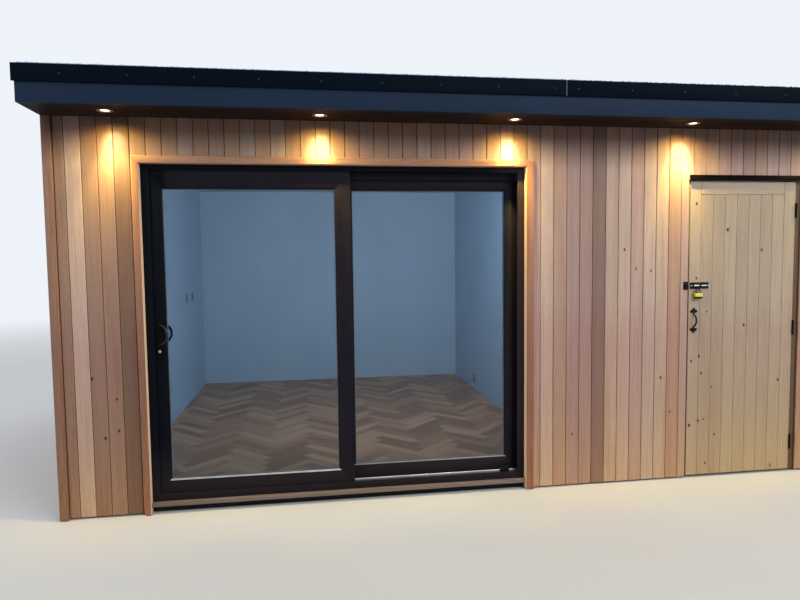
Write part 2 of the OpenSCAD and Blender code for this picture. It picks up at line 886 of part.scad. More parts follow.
module store_door_leaf() {
    middle = leaf_bottom + leaf_height / 2;
    rail_low = middle - leaf_middle_rail / 2;
    rail_high = middle + leaf_middle_rail / 2;
    left = leaf_left + leaf_bolt_stile - cut;
    right = leaf_right - leaf_hinge_stile + cut;
    color("wheat") place()
        union() {
            block([leaf_left, 0, leaf_bottom], [leaf_right, leaf_board_thickness, leaf_top]);
            block([leaf_left, 0, leaf_bottom],
                [leaf_left + leaf_bolt_stile, leaf_thickness, leaf_top]);
            block([leaf_right - leaf_hinge_stile, 0, leaf_bottom],
                [leaf_right, leaf_thickness, leaf_top]);
            block([left, 0, leaf_top - leaf_top_rail], [right, leaf_thickness, leaf_top]);
            block([left, 0, rail_low], [right, leaf_thickness, rail_high]);
            block([left, 0, leaf_bottom], [right, leaf_thickness, leaf_bottom + leaf_bottom_rail]);
            leaf_brace_bar(leaf_bottom + leaf_bottom_rail - cut, rail_low + cut);
            leaf_brace_bar(rail_high - cut, leaf_top - leaf_top_rail + cut);
        }
}

// Plate of a hinge between two X values, with tabs that reach its own knuckles
module hinge_plate_block(x0, x1, knuckles) {
    back = hinge_plate_depth;
    block([x0, 1, -hinge_height / 2], [x1, back, hinge_height / 2]);
    for (k = knuckles)
        translate([0, 0, k * knuckle_height])
            block([x0, pin_y, -knuckle_height / 2 + pin_clearance],
                [x1, 1 + cut, knuckle_height / 2 - pin_clearance]);
}

module knuckle(k, radius) {
    translate([pin_x, pin_y, k * knuckle_height - knuckle_height / 2 + pin_clearance])
        cylinder(h = knuckle_height - 2 * pin_clearance, r = radius);
}

module frame_hinges() {
    color("black") place()
        for (z = hinge_levels)
            translate([0, 0, z]) {
                hinge_plate_block(hinge_jamb_left - hinge_plate, hinge_jamb_left, [-1, 1]);
                knuckle(-1, knuckle_radius);
                knuckle(1, knuckle_radius);
                translate([pin_x, pin_y, -hinge_height / 2])
                    cylinder(h = hinge_height, r = pin_radius);
            }
}

module door_hinges() {
    color("black") place()
        for (z = hinge_levels)
            translate([0, 0, z])
                difference() {
                    union() {
                        hinge_plate_block(leaf_right, leaf_right + hinge_plate, [0]);
                        knuckle(0, knuckle_radius);
                    }
                    translate([pin_x, pin_y, -hinge_height / 2])
                        cylinder(h = hinge_height, r = pin_radius + pin_clearance);
                }
}

// Leaf shaped end plate of the pull handle, pointing up
module pull_end() {
    rotate([90, 0, 0]) {
        for (side = [-1, 1])
            translate([side * 1.5 * lobe_radius, 2.4 * lobe_radius, 0])
                cylinder(h = plate_thickness, r = lobe_radius);
        translate([0, 3.7 * lobe_radius, 0])
            cylinder(h = plate_thickness, r = lobe_radius);
        translate([-pull_bar / 2, 0, 0])
            cube([pull_bar, 3.7 * lobe_radius, plate_thickness]);
        translate([-1.5 * lobe_radius, 1.9 * lobe_radius, 0])
            cube([3 * lobe_radius, lobe_radius, plate_thickness]);
    }
}

module pull_handle() {
    end_height = 4.7 * lobe_radius;
    half_span = pull_height / 2 - end_height + pull_bar / 2;
    middle = pull_bottom + pull_height / 2;
    rise = pull_reach - pull_bar / 2;
    arc_radius = (half_span * half_span + rise * rise) / (2 * rise);
    half_angle = asin(half_span / arc_radius);
    color("black") place()
        translate([pull_x, 0, middle]) {
            for (side = [0, 1])
                mirror([0, 0, side])
                    translate([0, 0, pull_height / 2 - end_height])
                        pull_end();
            difference() {
                translate([0, arc_radius - rise, 0])
                    rotate([90, 0, -90])
                        rotate([0, 0, -half_angle])
                            rotate_extrude(angle = 2 * half_angle)
                                translate([arc_radius, 0])
                                    circle(d = pull_bar);
                block([-pull_reach, -plate_thickness / 3, -pull_height],
                    [pull_reach, 2 * pull_reach, pull_height]);
            }
        }
}

module rod_guide(x, clearance) {
    half = rod_radius + plate_thickness + clearance;
    difference() {
        block([x, guide_front, bolt_height - half], [x + guide_width, 0, bolt_height + half]);
        bar_x(-rod_offset, bolt_height, x - cut, x + guide_width + cut, rod_radius + clearance);
    }
}

module bolt_plate() {
    eye = shackle_radius + 0.8;
    ear = staple_thickness;
    color("black") place() {
        block([bolt_plate_left, -plate_thickness, bolt_height - bolt_plate_height / 2],
            [bolt_plate_left + bolt_plate_length, 0, bolt_height + bolt_plate_height / 2]);
        rod_guide(bolt_plate_left + guide_inset, rod_clearance);
        rod_guide(bolt_plate_left + guide_inset + guide_spacing, rod_clearance);
        difference() {
            block([staple_x - ear / 2, staple_y - 2 * eye, crown_z - 2 * eye],
                [staple_x + ear / 2, -plate_thickness + 0.5, crown_z + eye + 3]);
            bar_x(staple_y, crown_z + 0.3, staple_x - ear, staple_x + ear, eye);
        }
    }
}

module bolt_rod() {
    start = leaf_left + rod_setback;
    knob = bolt_plate_left + knob_distance;
    color("silver") place()
        union() {
            bar_x(-rod_offset, bolt_height, start, bolt_plate_left + bolt_plate_length - 3, rod_radius);
            bar_y(knob, bolt_height, -rod_offset - knob_length, -rod_offset, rod_radius - 1);
        }
}

module bolt_keep() {
    right = latch_edge - 1;
    color("black") place() {
        block([right - keep_width, -plate_thickness, bolt_height - keep_height / 2],
            [right, 0, bolt_height + keep_height / 2]);
        rod_guide(right - keep_width / 2 - guide_width / 2, keep_clearance);
    }
}

module padlock() {
    bottom = padlock_top - padlock_height;
    color("gold") place()
        translate([staple_x, staple_y, 0]) {
            block([-padlock_width / 2, -padlock_thickness / 2, bottom],
                [padlock_width / 2, padlock_thickness / 2, padlock_top]);
            for (side = [-1, 1])
                translate([side * shackle_bend, 0, padlock_top - cut])
                    cylinder(h = crown_z - shackle_bend - padlock_top + cut, r = shackle_radius);
            translate([0, 0, crown_z - shackle_bend])
                rotate([90, 0, 0])
                    rotate_extrude(angle = 180)
                        translate([shackle_bend, 0])
                            circle(r = shackle_radius);
        }
}

module drip_bar() {
    color("black") place()
        translate([latch_edge, 0, drip_bottom])
            rotate([90, 0, 90])
                linear_extrude(hinge_jamb_right - latch_edge)
                    polygon([[0, store_head - drip_bottom], [0, drip_height], [-drip_depth / 2, drip_height],
                        [-drip_depth, drip_height / 4], [-drip_depth, 0], [-drip_depth + 4, 0],
                        [-drip_depth + 4, store_head - drip_bottom]]);
}

// Roof

light_positions = [for (i = [0 : light_count - 1]) (i - (light_count - 1) / 2) * light_spacing];
light_y = light_setback - front_overhang;

module soffit() {
    color("saddlebrown") place()
        difference() {
            block([-deck_half, deck_front, soffit_height], [deck_half, cladding_thickness, wall_top]);
            for (x = light_positions)
                translate([x, light_y, soffit_height - cut])
                    cylinder(h = soffit_thickness + 2 * cut, d = light_diameter + 2 * light_clearance);
        }
}

module soffit_lights() {
    color("gold") place()
        for (x = light_positions)
            translate([x, light_y, 0])
                difference() {
                    union() {
                        translate([0, 0, soffit_height - light_rim_thickness])
                            cylinder(h = light_rim_thickness, d = light_rim_diameter);
                        translate([0, 0, soffit_height - cut])
                            cylinder(h = soffit_thickness + cut, d = light_diameter);
                    }
                    translate([0, 0, soffit_height - light_rim_thickness - cut])
                        cylinder(h = light_rim_thickness + 3, d = light_diameter - 14);
                }
}

module fascia_boards() {
    color("midnightblue") place() {
        block([-fascia_half, -front_overhang, soffit_height], [fascia_half, deck_front, deck_top]);
        block([-fascia_half, deck_back, soffit_height], [fascia_half, fascia_back, deck_top]);
        for (side = [0, 1])
            mirror([side, 0, 0])
                block([deck_half, deck_front + hairline, soffit_height],
                    [fascia_half, deck_back - hairline, deck_top]);
    }
}

// Section of the kerb with its trim: X runs outwards from the fascia's face, Y is the height
module kerb_section() {
    edge = kerb_top - kerb_fall;
    foot = edge - kerb_face_height;
    polygon([[kerb_proud, edge], [kerb_proud, foot], [0, foot], [0, deck_top],
        [kerb_proud - kerb_width, deck_top], [kerb_proud - kerb_width, kerb_top]]);
}

module front_kerb(x0, x1) {
    translate([x0, -front_overhang, 0])
        rotate([90, 0, 90])
            linear_extrude(x1 - x0)
                mirror([1, 0])
                    kerb_section();
}

module side_kerb() {
    start = kerb_front + kerb_width + hairline;
    translate([fascia_half, fascia_back, 0])
        rotate([90, 0, 0])
            linear_extrude(fascia_back - start)
                kerb_section();
}

module kerb_trims() {
    joint = kerb_joint_distance - kerb_half;
    color("black") place() {
        front_kerb(-kerb_half, joint - kerb_joint_width / 2);
        front_kerb(joint + kerb_joint_width / 2, kerb_half);
        for (side = [0, 1])
            mirror([side, 0, 0])
                side_kerb();
    }
}

module roof_deck() {
    color("tan") place()
        block([-deck_half, deck_front, wall_top], [deck_half, deck_back, deck_top]);
}

module roof_covering() {
    inner = kerb_half - kerb_width;
    front = kerb_front + kerb_width;
    color("dimgray") place()
        translate([-inner, 0, 0])
            rotate([90, 0, 90])
                linear_extrude(2 * inner)
                    polygon([[front, deck_top], [fascia_back + covering_lap, deck_top],
                        [fascia_back + covering_lap, deck_top + covering_back_height],
                        [front, deck_top + covering_front_height]]);
}

gutter_top = deck_top - gutter_drop;
downpipe_x = fascia_half - downpipe_inset;
downpipe_y = fascia_back + gutter_width / 2;

module rear_gutter() {
    color("black") place()
        difference() {
            block([-fascia_half, fascia_back, gutter_top - gutter_height],
                [fascia_half, gutter_back, gutter_top]);
            block([-fascia_half + gutter_wall, fascia_back + gutter_wall,
                    gutter_top - gutter_height + gutter_wall],
                [fascia_half - gutter_wall, gutter_back - gutter_wall, gutter_top + cut]);
        }
}

module downpipe() {
    radius = downpipe_diameter / 2;
    color("black") place() {
        translate([downpipe_x, downpipe_y, downpipe_gap])
            cylinder(h = gutter_top - gutter_height - downpipe_gap, r = radius);
        for (z = [downpipe_gap + strap_inset, gutter_top - gutter_height - strap_inset])
            translate([downpipe_x, downpipe_y, z])
                linear_extrude(strap_height)
                    difference() {
                        union() {
                            circle(r = radius + strap_thickness);
                            translate([-radius - strap_thickness, wall_depth - downpipe_y])
                                square([2 * (radius + strap_thickness), downpipe_y - wall_depth]);
                        }
                        translate([-radius, wall_depth - downpipe_y + strap_thickness])
                            square([2 * radius, downpipe_y - wall_depth - strap_thickness]);
                    }
    }
}

module socket_plate(x, y, z, thickness) {
    block([x, y, z - socket_size / 2], [x + thickness, y + socket_size, z + socket_size / 2]);
}

module wall_sockets() {
    nearest = back_inner - socket_back - socket_size;
    color("white") place() {
        socket_plate(-inner_half, nearest, socket_high, socket_thickness);
        socket_plate(-inner_half, nearest - socket_gap - socket_size, socket_high, socket_thickness);
        socket_plate(partition_left - socket_thickness, back_inner - socket_partition_back,
            socket_low, socket_thickness);
    }
}

floor_base();
floor_finish();
front_wall_piers();
front_wall_lintels();
side_walls();
back_wall();
partition_wall();
ceiling();
front_cladding();
side_cladding();
back_cladding();
corner_trims();
slider_surround();
door_sill();
vent_strip();
outer_frame();
track_rail();
track_stop();
fixed_sash();
fixed_glass();
sliding_sash();
sliding_glass();
sash_rollers();
outside_handle();
inside_handle();
lock_cylinder();
store_door_frame();
store_door_leaf();
frame_hinges();
door_hinges();
pull_handle();
bolt_plate();
bolt_rod();
bolt_keep();
padlock();
drip_bar();
soffit();
soffit_lights();
fascia_boards();
kerb_trims();
roof_deck();
roof_covering();
rear_gutter();
downpipe();
wall_sockets();
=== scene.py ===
"""Garden office pod: cedar boards, a lit roof overhang, a sliding glass door and a boarded store door.

The CAD nodes give every place and size. Metres, +X along the front, +Y towards the back, +Z up.
"""

import math
import random

import bmesh
import bpy
from mathutils import Matrix, Vector

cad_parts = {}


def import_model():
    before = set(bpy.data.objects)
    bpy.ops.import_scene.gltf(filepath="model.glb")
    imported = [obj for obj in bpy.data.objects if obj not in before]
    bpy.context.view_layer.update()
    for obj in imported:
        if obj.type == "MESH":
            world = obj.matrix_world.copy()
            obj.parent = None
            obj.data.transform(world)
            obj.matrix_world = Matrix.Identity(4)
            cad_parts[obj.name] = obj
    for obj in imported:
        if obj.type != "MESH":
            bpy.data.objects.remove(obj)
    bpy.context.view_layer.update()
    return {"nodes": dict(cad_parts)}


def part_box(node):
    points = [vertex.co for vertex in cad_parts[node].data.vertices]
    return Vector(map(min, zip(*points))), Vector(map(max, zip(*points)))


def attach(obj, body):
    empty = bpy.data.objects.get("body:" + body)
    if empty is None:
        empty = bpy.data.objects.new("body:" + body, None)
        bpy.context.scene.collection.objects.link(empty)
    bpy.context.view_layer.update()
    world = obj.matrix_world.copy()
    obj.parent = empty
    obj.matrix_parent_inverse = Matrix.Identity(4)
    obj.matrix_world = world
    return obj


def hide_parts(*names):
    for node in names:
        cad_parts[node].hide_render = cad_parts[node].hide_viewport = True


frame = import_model()
nodes = frame["nodes"]
dice = random.Random(12)

POD, SLIDER, STORE = "pod", "sliding_door", "store_door"

# Cedar cladding
COVER = 0.08714  # width that each cladding board covers
FIRST_JOINT = -2.5735  # first joint right of the left corner
BOARD_GAP = 0.0030
BOARD_CHAMFER = 0.0022
BOARD_BACK = 0.006  # thickness of the tongues behind the boards' faces
TONGUE_SHORT = 0.001  # how much sooner the tongues end than the boards, at the foot and the top
SHORTEST = 0.012  # narrowest strip of a board beside a doorway or a corner
CORNER_LEG = 0.050  # width of a corner trim's leg, where the boards begin
STORE_HEAD_LAP = 0.040  # how far the boards over the store door hang down over its frame

# Herringbone floor
BLOCK_LENGTH = 0.400
BLOCK_WIDTH = 0.080
BLOCK_START = 0.166  # X of a valley between two rows
BLOCK_JOINT = 0.0002  # how far each block stands back from its place on every side
BLOCK_SPARE = 0.2  # blocks with their middle this far outside the room are laid too, then cut
FLOOR_GAP = 0.008  # gap between the floor and the walls
STORE_FLOOR_BOARDS = 16


def srgb(red, green, blue):
    """Linear colour of a red, green and blue from 0 to 255."""
    def linear(value):
        value /= 255
        return value / 12.92 if value <= 0.04045 else ((value + 0.055) / 1.055) ** 2.4
    return (linear(red), linear(green), linear(blue), 1)


# Materials


def step(tree, kind, inputs=None, **settings):
    """One shader node. An input is a value, or the socket that feeds it."""
    made = tree.nodes.new("ShaderNode" + kind)
    for key, value in settings.items():
        setattr(made, key, value)
    for key, value in (inputs or {}).items():
        if isinstance(value, bpy.types.NodeSocket):
            tree.links.new(value, made.inputs[key])
        else:
            made.inputs[key].default_value = value
    return made


def ramp(tree, factor, stops):
    """A colour ramp. stops are pairs of a place and a colour."""
    made = step(tree, "ValToRGB", {"Fac": factor})
    elements = made.color_ramp.elements
    while len(elements) < len(stops):
        elements.new(0.5)
    for element, (place, colour) in zip(elements, stops):
        element.position = place
        element.color = colour if len(colour) == 4 else (*colour, 1)
    return made.outputs["Color"]


def grey(value):
    """A grey as a colour with its alpha."""
    return (value, value, value, 1)


def mixed(tree, factor, first, second, blend="MIX"):
    """Colour mix of two colours or sockets."""
    made = step(tree, "Mix", data_type="RGBA", blend_type=blend, clamp_result=True)
    for index, value in ((0, factor), (6, first), (7, second)):
        if isinstance(value, bpy.types.NodeSocket):
            tree.links.new(value, made.inputs[index])
        else:
            made.inputs[index].default_value = value
    return made.outputs[2]


def own_place(tree):
    """The place of a spot on a piece, in the pod's frame."""
    return step(tree, "TexCoord").outputs["Object"]


def own_facing(tree, axis):
    """How far a spot faces along an axis, from -1 to 1."""
    return on_axis(tree, step(tree, "NewGeometry").outputs["Normal"], axis)


def on_axis(tree, vector, axis):
    """What a place or a direction has along one axis."""
    return step(tree, "SeparateXYZ", {0: vector}).outputs[axis]


def own_mark(tree, name):
    """A board's tone, seed or turn."""
    return step(tree, "Attribute", attribute_name=name).outputs["Fac"]


def reckoned(tree, operation, first, second):
    """One step of arithmetic with two values."""
    return step(tree, "Math", {0: first, 1: second}, operation=operation).outputs[0]


def share_between(tree, value, gone, full, line="LINEAR"):
    """0 where the value is at gone and 1 where it is at full, with a straight or smooth line between."""
    return step(tree, "MapRange", {"Value": value, "From Min": gone, "From Max": full},
                interpolation_type=line).outputs[0]


def range_of(tree, value, low, high):
    """The value from 0 to 1, spread from low to high."""
    return step(tree, "MapRange", {"Value": value, "To Min": low, "To Max": high}).outputs[0]


def empty(name):
    """A material without any shader."""
    made = bpy.data.materials.new(name)
    made.use_nodes = True
    made.node_tree.nodes.clear()
    return made, made.node_tree


def blank(name):
    """A material with one Principled shader."""
    made, tree = empty(name)
    shader = step(tree, "BsdfPrincipled")
    step(tree, "OutputMaterial", {"Surface": shader.outputs[0]})
    return made, tree, shader


def stretched(tree, scale, seeded=False, turn=None):
    """The place, scaled along each axis. seeded moves it on by the board's own seed.

    turn is the mark that holds the angle by which the board is turned.
    """
    place = own_place(tree)
    if seeded:
        shift = step(tree, "VectorMath", {0: (7.31, 3.17, 11.93), "Scale": own_mark(tree, "seed")},
                     operation="SCALE")
        place = step(tree, "VectorMath", {0: place, 1: shift.outputs[0]}).outputs[0]
    if turn:
        place = step(tree, "VectorRotate", {"Vector": place, "Angle": own_mark(tree, turn)},
                     rotation_type="Z_AXIS").outputs[0]
    return step(tree, "Mapping", {"Vector": place, "Scale": scale}).outputs[0]


def noise(tree, vector, scale=1.0, detail=3.0, rough=0.55, distortion=0.0):
    """Cloudy noise from 0 to 1."""
    return step(tree, "TexNoise", {"Vector": vector, "Scale": scale, "Detail": detail,
                                   "Roughness": rough, "Distortion": distortion}).outputs["Fac"]


def set_bump(tree, shader, height, strength, distance):
    """Gives the shader a fine relief. distance is the relief's height in metres."""
    bump = step(tree, "Bump", {"Height": height, "Strength": strength, "Distance": distance})
    tree.links.new(bump.outputs[0], shader.inputs["Normal"])


ALONG = {"x": (0.035, 1, 1), "z": (1, 1, 0.035)}  # scale of a pattern that is drawn out along an axis


def wood(name, tones, along="z", ring=0.10, streak=0.55, heart=(0.80, 0.66, 0.57, 1), pores=0.16,
         knots=0.0, knot_places=(), rough=(0.50, 0.72), bump=0.25, turn=None, height_light_shade=None, sides=None,
         specular=0.3):
    """Sawn wood. tones are the colours that the boards' tone attribute picks from, 0 to 1.

    sides is a paler colour painted on faces that face along X, as painted light on the lit reveals.
    """
    made, tree, shader = blank(name)
    length = Vector(ALONG[along])
    stops = [(i / max(1, len(tones) - 1), c) for i, c in enumerate(tones)]
    colour = ramp(tree, own_mark(tree, "tone"), stops) if len(tones) > 1 else tones[0]

    # broad streaks of darker heartwood along the board, and a few narrow ones
    wide = noise(tree, stretched(tree, length * 17, True, turn), detail=2, distortion=0.5)
    colour = shaded(tree, colour, ramp(tree, wide, [(0.44, grey(0)), (0.74, grey(streak))]), heart)
    narrow = noise(tree, stretched(tree, length * 62, True, turn), detail=3, distortion=0.3)
    colour = shaded(tree, colour, ramp(tree, narrow, [(0.50, grey(0)), (0.72, grey(streak * 0.8))]), heart)

    # growth rings, then pores and saw marks
    rings = step(tree, "TexWave", {"Vector": stretched(tree, length * 48, True, turn), "Scale": 1.0,
                                   "Distortion": 6.0, "Detail": 2.0, "Detail Scale": 0.7},
                 wave_type="BANDS", bands_direction="DIAGONAL").outputs["Fac"]
    ring_shade = ramp(tree, rings, [(0.0, grey(1)), (0.6, grey(1 - ring * 0.3)), (1.0, grey(1 - ring))])
    colour = mixed(tree, 1.0, colour, ring_shade, "MULTIPLY")
    fine = noise(tree, stretched(tree, length * 230, True, turn), detail=4, rough=0.7)
    fine_shade = ramp(tree, fine, [(0.30, grey(1 - pores)), (0.55, grey(1))])
    colour = mixed(tree, 1.0, colour, fine_shade, "MULTIPLY")

    if knots:
        colour = knotted(tree, colour, knots, along)
    if knot_places:
        colour = placed_knots(tree, colour, knot_places)
    # painted light and shade by height: the colour is multiplied by a ramp up the wall
    if height_light_shade:
        share = share_between(tree, on_axis(tree, own_place(tree), "Z"), 0.0, WALL_HEIGHT)
        colour = mixed(tree, 1.0, colour, ramp(tree, share, height_light_shade), "MULTIPLY")
    # painted light: faces that face along X are made paler, as if lit
    if sides:
        turned = step(tree, "Math", {0: own_facing(tree, "X")}, operation="ABSOLUTE").outputs[0]
        colour = mixed(tree, share_between(tree, turned, 0.6, 0.9), colour, sides)
    tree.links.new(colour, shader.inputs["Base Color"])
    tree.links.new(range_of(tree, fine, rough[1], rough[0]), shader.inputs["Roughness"])
    shader.inputs["Specular IOR Level"].default_value = specular
    set_bump(tree, shader, fine, bump, 0.0012)
    return made


def shaded(tree, colour, share, heart):
    """The colour, darkened by the heartwood colour where share is above 0."""
    return mixed(tree, share, colour, mixed(tree, 1.0, colour, heart, "MULTIPLY"))


def knotted(tree, colour, share, along):
    """Adds dark knots with a soft halo in the given share of the pattern's cells."""
    cells = Vector([1 if v == 1 else 0.5 for v in ALONG[along]]) * 9
    cell = step(tree, "TexVoronoi", {"Vector": stretched(tree, cells, True), "Scale": 1.0,
                                     "Randomness": 1.0}, feature="F1")
    pick = step(tree, "SeparateColor", {"Color": cell.outputs["Color"]}).outputs[0]
    chosen = reckoned(tree, "LESS_THAN", pick, share)
    halo = ramp(tree, cell.outputs["Distance"], [(0.0, grey(1)), (0.04, grey(0.9)), (0.065, grey(0.28)),
                                                 (0.17, grey(0))])
    return mixed(tree, reckoned(tree, "MULTIPLY", halo, chosen), colour, srgb(66, 40, 27))


def placed_knots(tree, colour, places):
    """Adds small knots, each given by its X, its Z and its radius, a little longer than they are wide."""
    spot = step(tree, "VectorMath", {0: own_place(tree), 1: (1, 0, KNOT_SQUASH)},
                operation="MULTIPLY").outputs[0]
    wobble = step(tree, "TexNoise", {"Vector": spot, "Scale": 190.0, "Detail": 2.0}).outputs["Color"]
    wobble = step(tree, "VectorMath", {0: wobble, "Scale": KNOT_WOBBLE}, operation="SCALE").outputs[0]
    spot = step(tree, "VectorMath", {0: spot, 1: wobble}).outputs[0]
    drift = KNOT_WOBBLE / 2  # the wobble moves every spot by about half its size
    mask = None
    for x, z, radius in places:
        centre = (x + drift, drift, z * KNOT_SQUASH + drift)
        reach = step(tree, "VectorMath", {0: spot, 1: centre}, operation="DISTANCE").outputs["Value"]
        near = share_between(tree, reach, radius, radius * 0.45)
        mask = near if mask is None else reckoned(tree, "MAXIMUM", mask, near)
    return mixed(tree, mask, colour, srgb(58, 34, 24))


def coated(name, colour, worn, rough=0.42, grain=900.0, blotch=5.0, bump=0.05, specular=0.5,
           dust=None, dust_share=0.0, foot_reflection=None, upright=None):
    """Coated, painted or moulded surface: a fine skin, slow blotches and, on upward faces, dust.

    foot_reflection gives the colour of a painted reflection of the pale ground at the foot, and the heights
    where it is full and gone.
    upright gives a colour painted over the upright at one end as painted light and reflection, and the X
    where it is full and gone.
    """
    made, tree, shader = blank(name)
    place = own_place(tree)
    slow = noise(tree, place, scale=blotch, detail=4)
    skin = noise(tree, place, scale=grain, detail=2)
    base = mixed(tree, ramp(tree, slow, [(0.35, grey(0)), (0.75, grey(1))]), colour, worn)
    if dust:
        flecks = ramp(tree, noise(tree, place, scale=70.0, detail=5, rough=0.7),
                      [(0.45, grey(0)), (0.62, grey(1))])
        top = ramp(tree, own_facing(tree, "Z"), [(0.55, grey(0)), (0.9, grey(dust_share))])
        base = mixed(tree, reckoned(tree, "MULTIPLY", flecks, top), base, dust)
    # painted light and reflection over one end's upright
    if upright:
        shade, full, gone = upright
        base = mixed(tree, share_between(tree, on_axis(tree, place, "X"), gone, full), base, shade)
    # painted reflection: the foot is made lighter, as if it mirrored the pale ground
    if foot_reflection:
        shade, full, gone = foot_reflection
        share = share_between(tree, on_axis(tree, place, "Z"), gone, full, "SMOOTHSTEP")
        base = mixed(tree, share, base, shade)
    tree.links.new(base, shader.inputs["Base Color"])
    tree.links.new(range_of(tree, slow, rough - 0.05, rough + 0.08), shader.inputs["Roughness"])
    shader.inputs["Specular IOR Level"].default_value = specular
    set_bump(tree, shader, skin, bump, 0.0004)
    return made


def brushed(name, colour, along="x", rough=0.28):
    """Bare drawn metal with fine lines along its length."""
    made, tree, shader = blank(name)
    lines = noise(tree, stretched(tree, Vector(ALONG[along]) * 700), detail=3)
    slow = noise(tree, own_place(tree), scale=14.0)
    base = mixed(tree, ramp(tree, slow, [(0.3, grey(0)), (0.8, grey(1))]), colour,
                 tuple(c * 0.72 for c in colour[:3]) + (1,))
    tree.links.new(base, shader.inputs["Base Color"])
    tree.links.new(range_of(tree, lines, rough - 0.08, rough + 0.14), shader.inputs["Roughness"])
    shader.inputs["Metallic"].default_value = 1.0
    set_bump(tree, shader, lines, 0.08, 0.0003)
    return made


def clear_glass(name, tint):
    """A thin pane: it lets light straight through with a slight tint, and mirrors more at a slant."""
    made, tree = empty(name)
    smear = noise(tree, stretched(tree, Vector((3, 3, 1.2))), detail=5, rough=0.6)
    film = ramp(tree, smear, [(0.35, tint), (0.75, tuple(c * 0.985 for c in tint[:3]) + (1,))])
    through = step(tree, "BsdfTransparent", {"Color": film})
    mirror = step(tree, "BsdfGlossy", {"Color": srgb(236, 242, 250), "Roughness": 0.02})
    slant = step(tree, "Fresnel", {"IOR": 1.28})
    both = step(tree, "MixShader", {0: slant.outputs[0], 1: through.outputs[0], 2: mirror.outputs[0]})
    step(tree, "OutputMaterial", {"Surface": both.outputs[0]})
    return made


def lit_lens(name, colour, strength):
    """A frosted lens lit from behind, a little uneven in its glow."""
    made, tree = empty(name)
    frost = noise(tree, own_place(tree), scale=160.0, detail=2)
    glow = mixed(tree, frost, colour, srgb(255, 246, 226))
    light = step(tree, "Emission", {"Color": glow, "Strength": strength})
    step(tree, "OutputMaterial", {"Surface": light.outputs[0]})
    return made


CEDAR = {  # tones of the cladding boards, in the order of the tone attribute
    "bark": srgb(122, 92, 78),
    "umber": srgb(146, 115, 106),
    "fawn": srgb(164, 130, 114),
    "mauve": srgb(177, 145, 142),
    "rose": srgb(185, 153, 145),
    "tan": srgb(180, 144, 124),
    "gold": srgb(190, 156, 131),
    "beige": srgb(190, 164, 154),
    "pink": srgb(198, 168, 156),
}
CEDAR_NAMES = list(CEDAR)
WALL_HEIGHT = 2.4  # the places in the painted height shading are shares of this height
KNOT_SQUASH = 0.7  # the knots' pattern is this share of its height, which draws them out upright
KNOT_WOBBLE = 0.006  # how far the knots' outlines wander

# painted light and shade up the front, as places up the wall and the share of each colour that is left:
# warmer near the foot, cooler higher up, and a deep painted shadow under the soffit at the top
CEDAR_HEIGHT_LIGHT_SHADE = [(0.04, (0.98, 0.93, 0.69)), (0.21, (0.85, 0.83, 0.75)), (0.40, (0.82, 0.79, 0.81)),
                 (0.52, (0.85, 0.914, 0.935)), (0.85, (0.82, 0.89, 0.91)), (0.93, (0.33, 0.29, 0.265))]

# knots that stand out: X, Z and radius
CEDAR_KNOTS = [(0.781, 1.531, 0.009), (0.862, 1.407, 0.008), (0.966, 1.391, 0.007), (1.046, 0.688, 0.010),
               (0.434, 0.342, 0.008), (1.115, 0.457, 0.007), (-2.478, 0.821, 0.010),
               (-2.419, 0.470, 0.010), (-2.348, 0.696, 0.008), (-2.343, 0.510, 0.009)]
PINE_KNOTS = [(1.281, 1.825, 0.010), (1.508, 1.655, 0.012), (1.289, 1.338, 0.009), (1.368, 1.116, 0.007),
              (1.262, 0.790, 0.009), (1.317, 0.819, 0.010), (1.336, 0.705, 0.009), (1.413, 0.610, 0.007),
              (1.321, 0.385, 0.009), (1.255, 0.357, 0.011), (1.362, 0.394, 0.007), (1.440, 0.285, 0.008),
              (1.378, 0.092, 0.008), (1.640, 1.020, 0.010), (1.760, 1.520, 0.010), (1.905, 0.640, 0.010)]

cedar = wood("red_cedar_boards", list(CEDAR.values()), knots=0.006, knot_places=CEDAR_KNOTS,
             height_light_shade=CEDAR_HEIGHT_LIGHT_SHADE)
cedar_trim = wood("red_cedar_trim", [srgb(156, 118, 100)], streak=0.8, pores=0.3, height_light_shade=CEDAR_HEIGHT_LIGHT_SHADE)
# the posts' reveals take painted light through sides
cedar_posts = wood("red_cedar_posts", [srgb(163, 114, 93)], ring=0.22, streak=0.8, pores=0.3,
                   height_light_shade=CEDAR_HEIGHT_LIGHT_SHADE, sides=srgb(226, 194, 165))
cedar_head = wood("red_cedar_head_trim", [srgb(168, 128, 104)], along="x", streak=0.8, pores=0.3)
# real tongues, coloured dark as painted shade in the gaps between the boards
tongue_shade_wood = wood("cedar_tongues_painted_shade", [srgb(64, 42, 30)])
pine = wood("knotty_redwood", [srgb(166, 137, 110), srgb(178, 150, 122), srgb(176, 162, 138)],
            heart=(0.86, 0.76, 0.66, 1), knots=0.22)
pine_front = wood("knotty_redwood_boards", [srgb(168, 146, 128), srgb(180, 158, 138), srgb(184, 166, 142)],
                  heart=(0.88, 0.80, 0.72, 1), knots=0.03, knot_places=PINE_KNOTS, height_light_shade=CEDAR_HEIGHT_LIGHT_SHADE)
pine_rail = wood("knotty_redwood_rails", [srgb(180, 158, 138)], along="x", heart=(0.88, 0.80, 0.72, 1),
                 knots=0.05, height_light_shade=CEDAR_HEIGHT_LIGHT_SHADE)
jamb_wood = wood("stained_jamb", [srgb(96, 72, 54)])
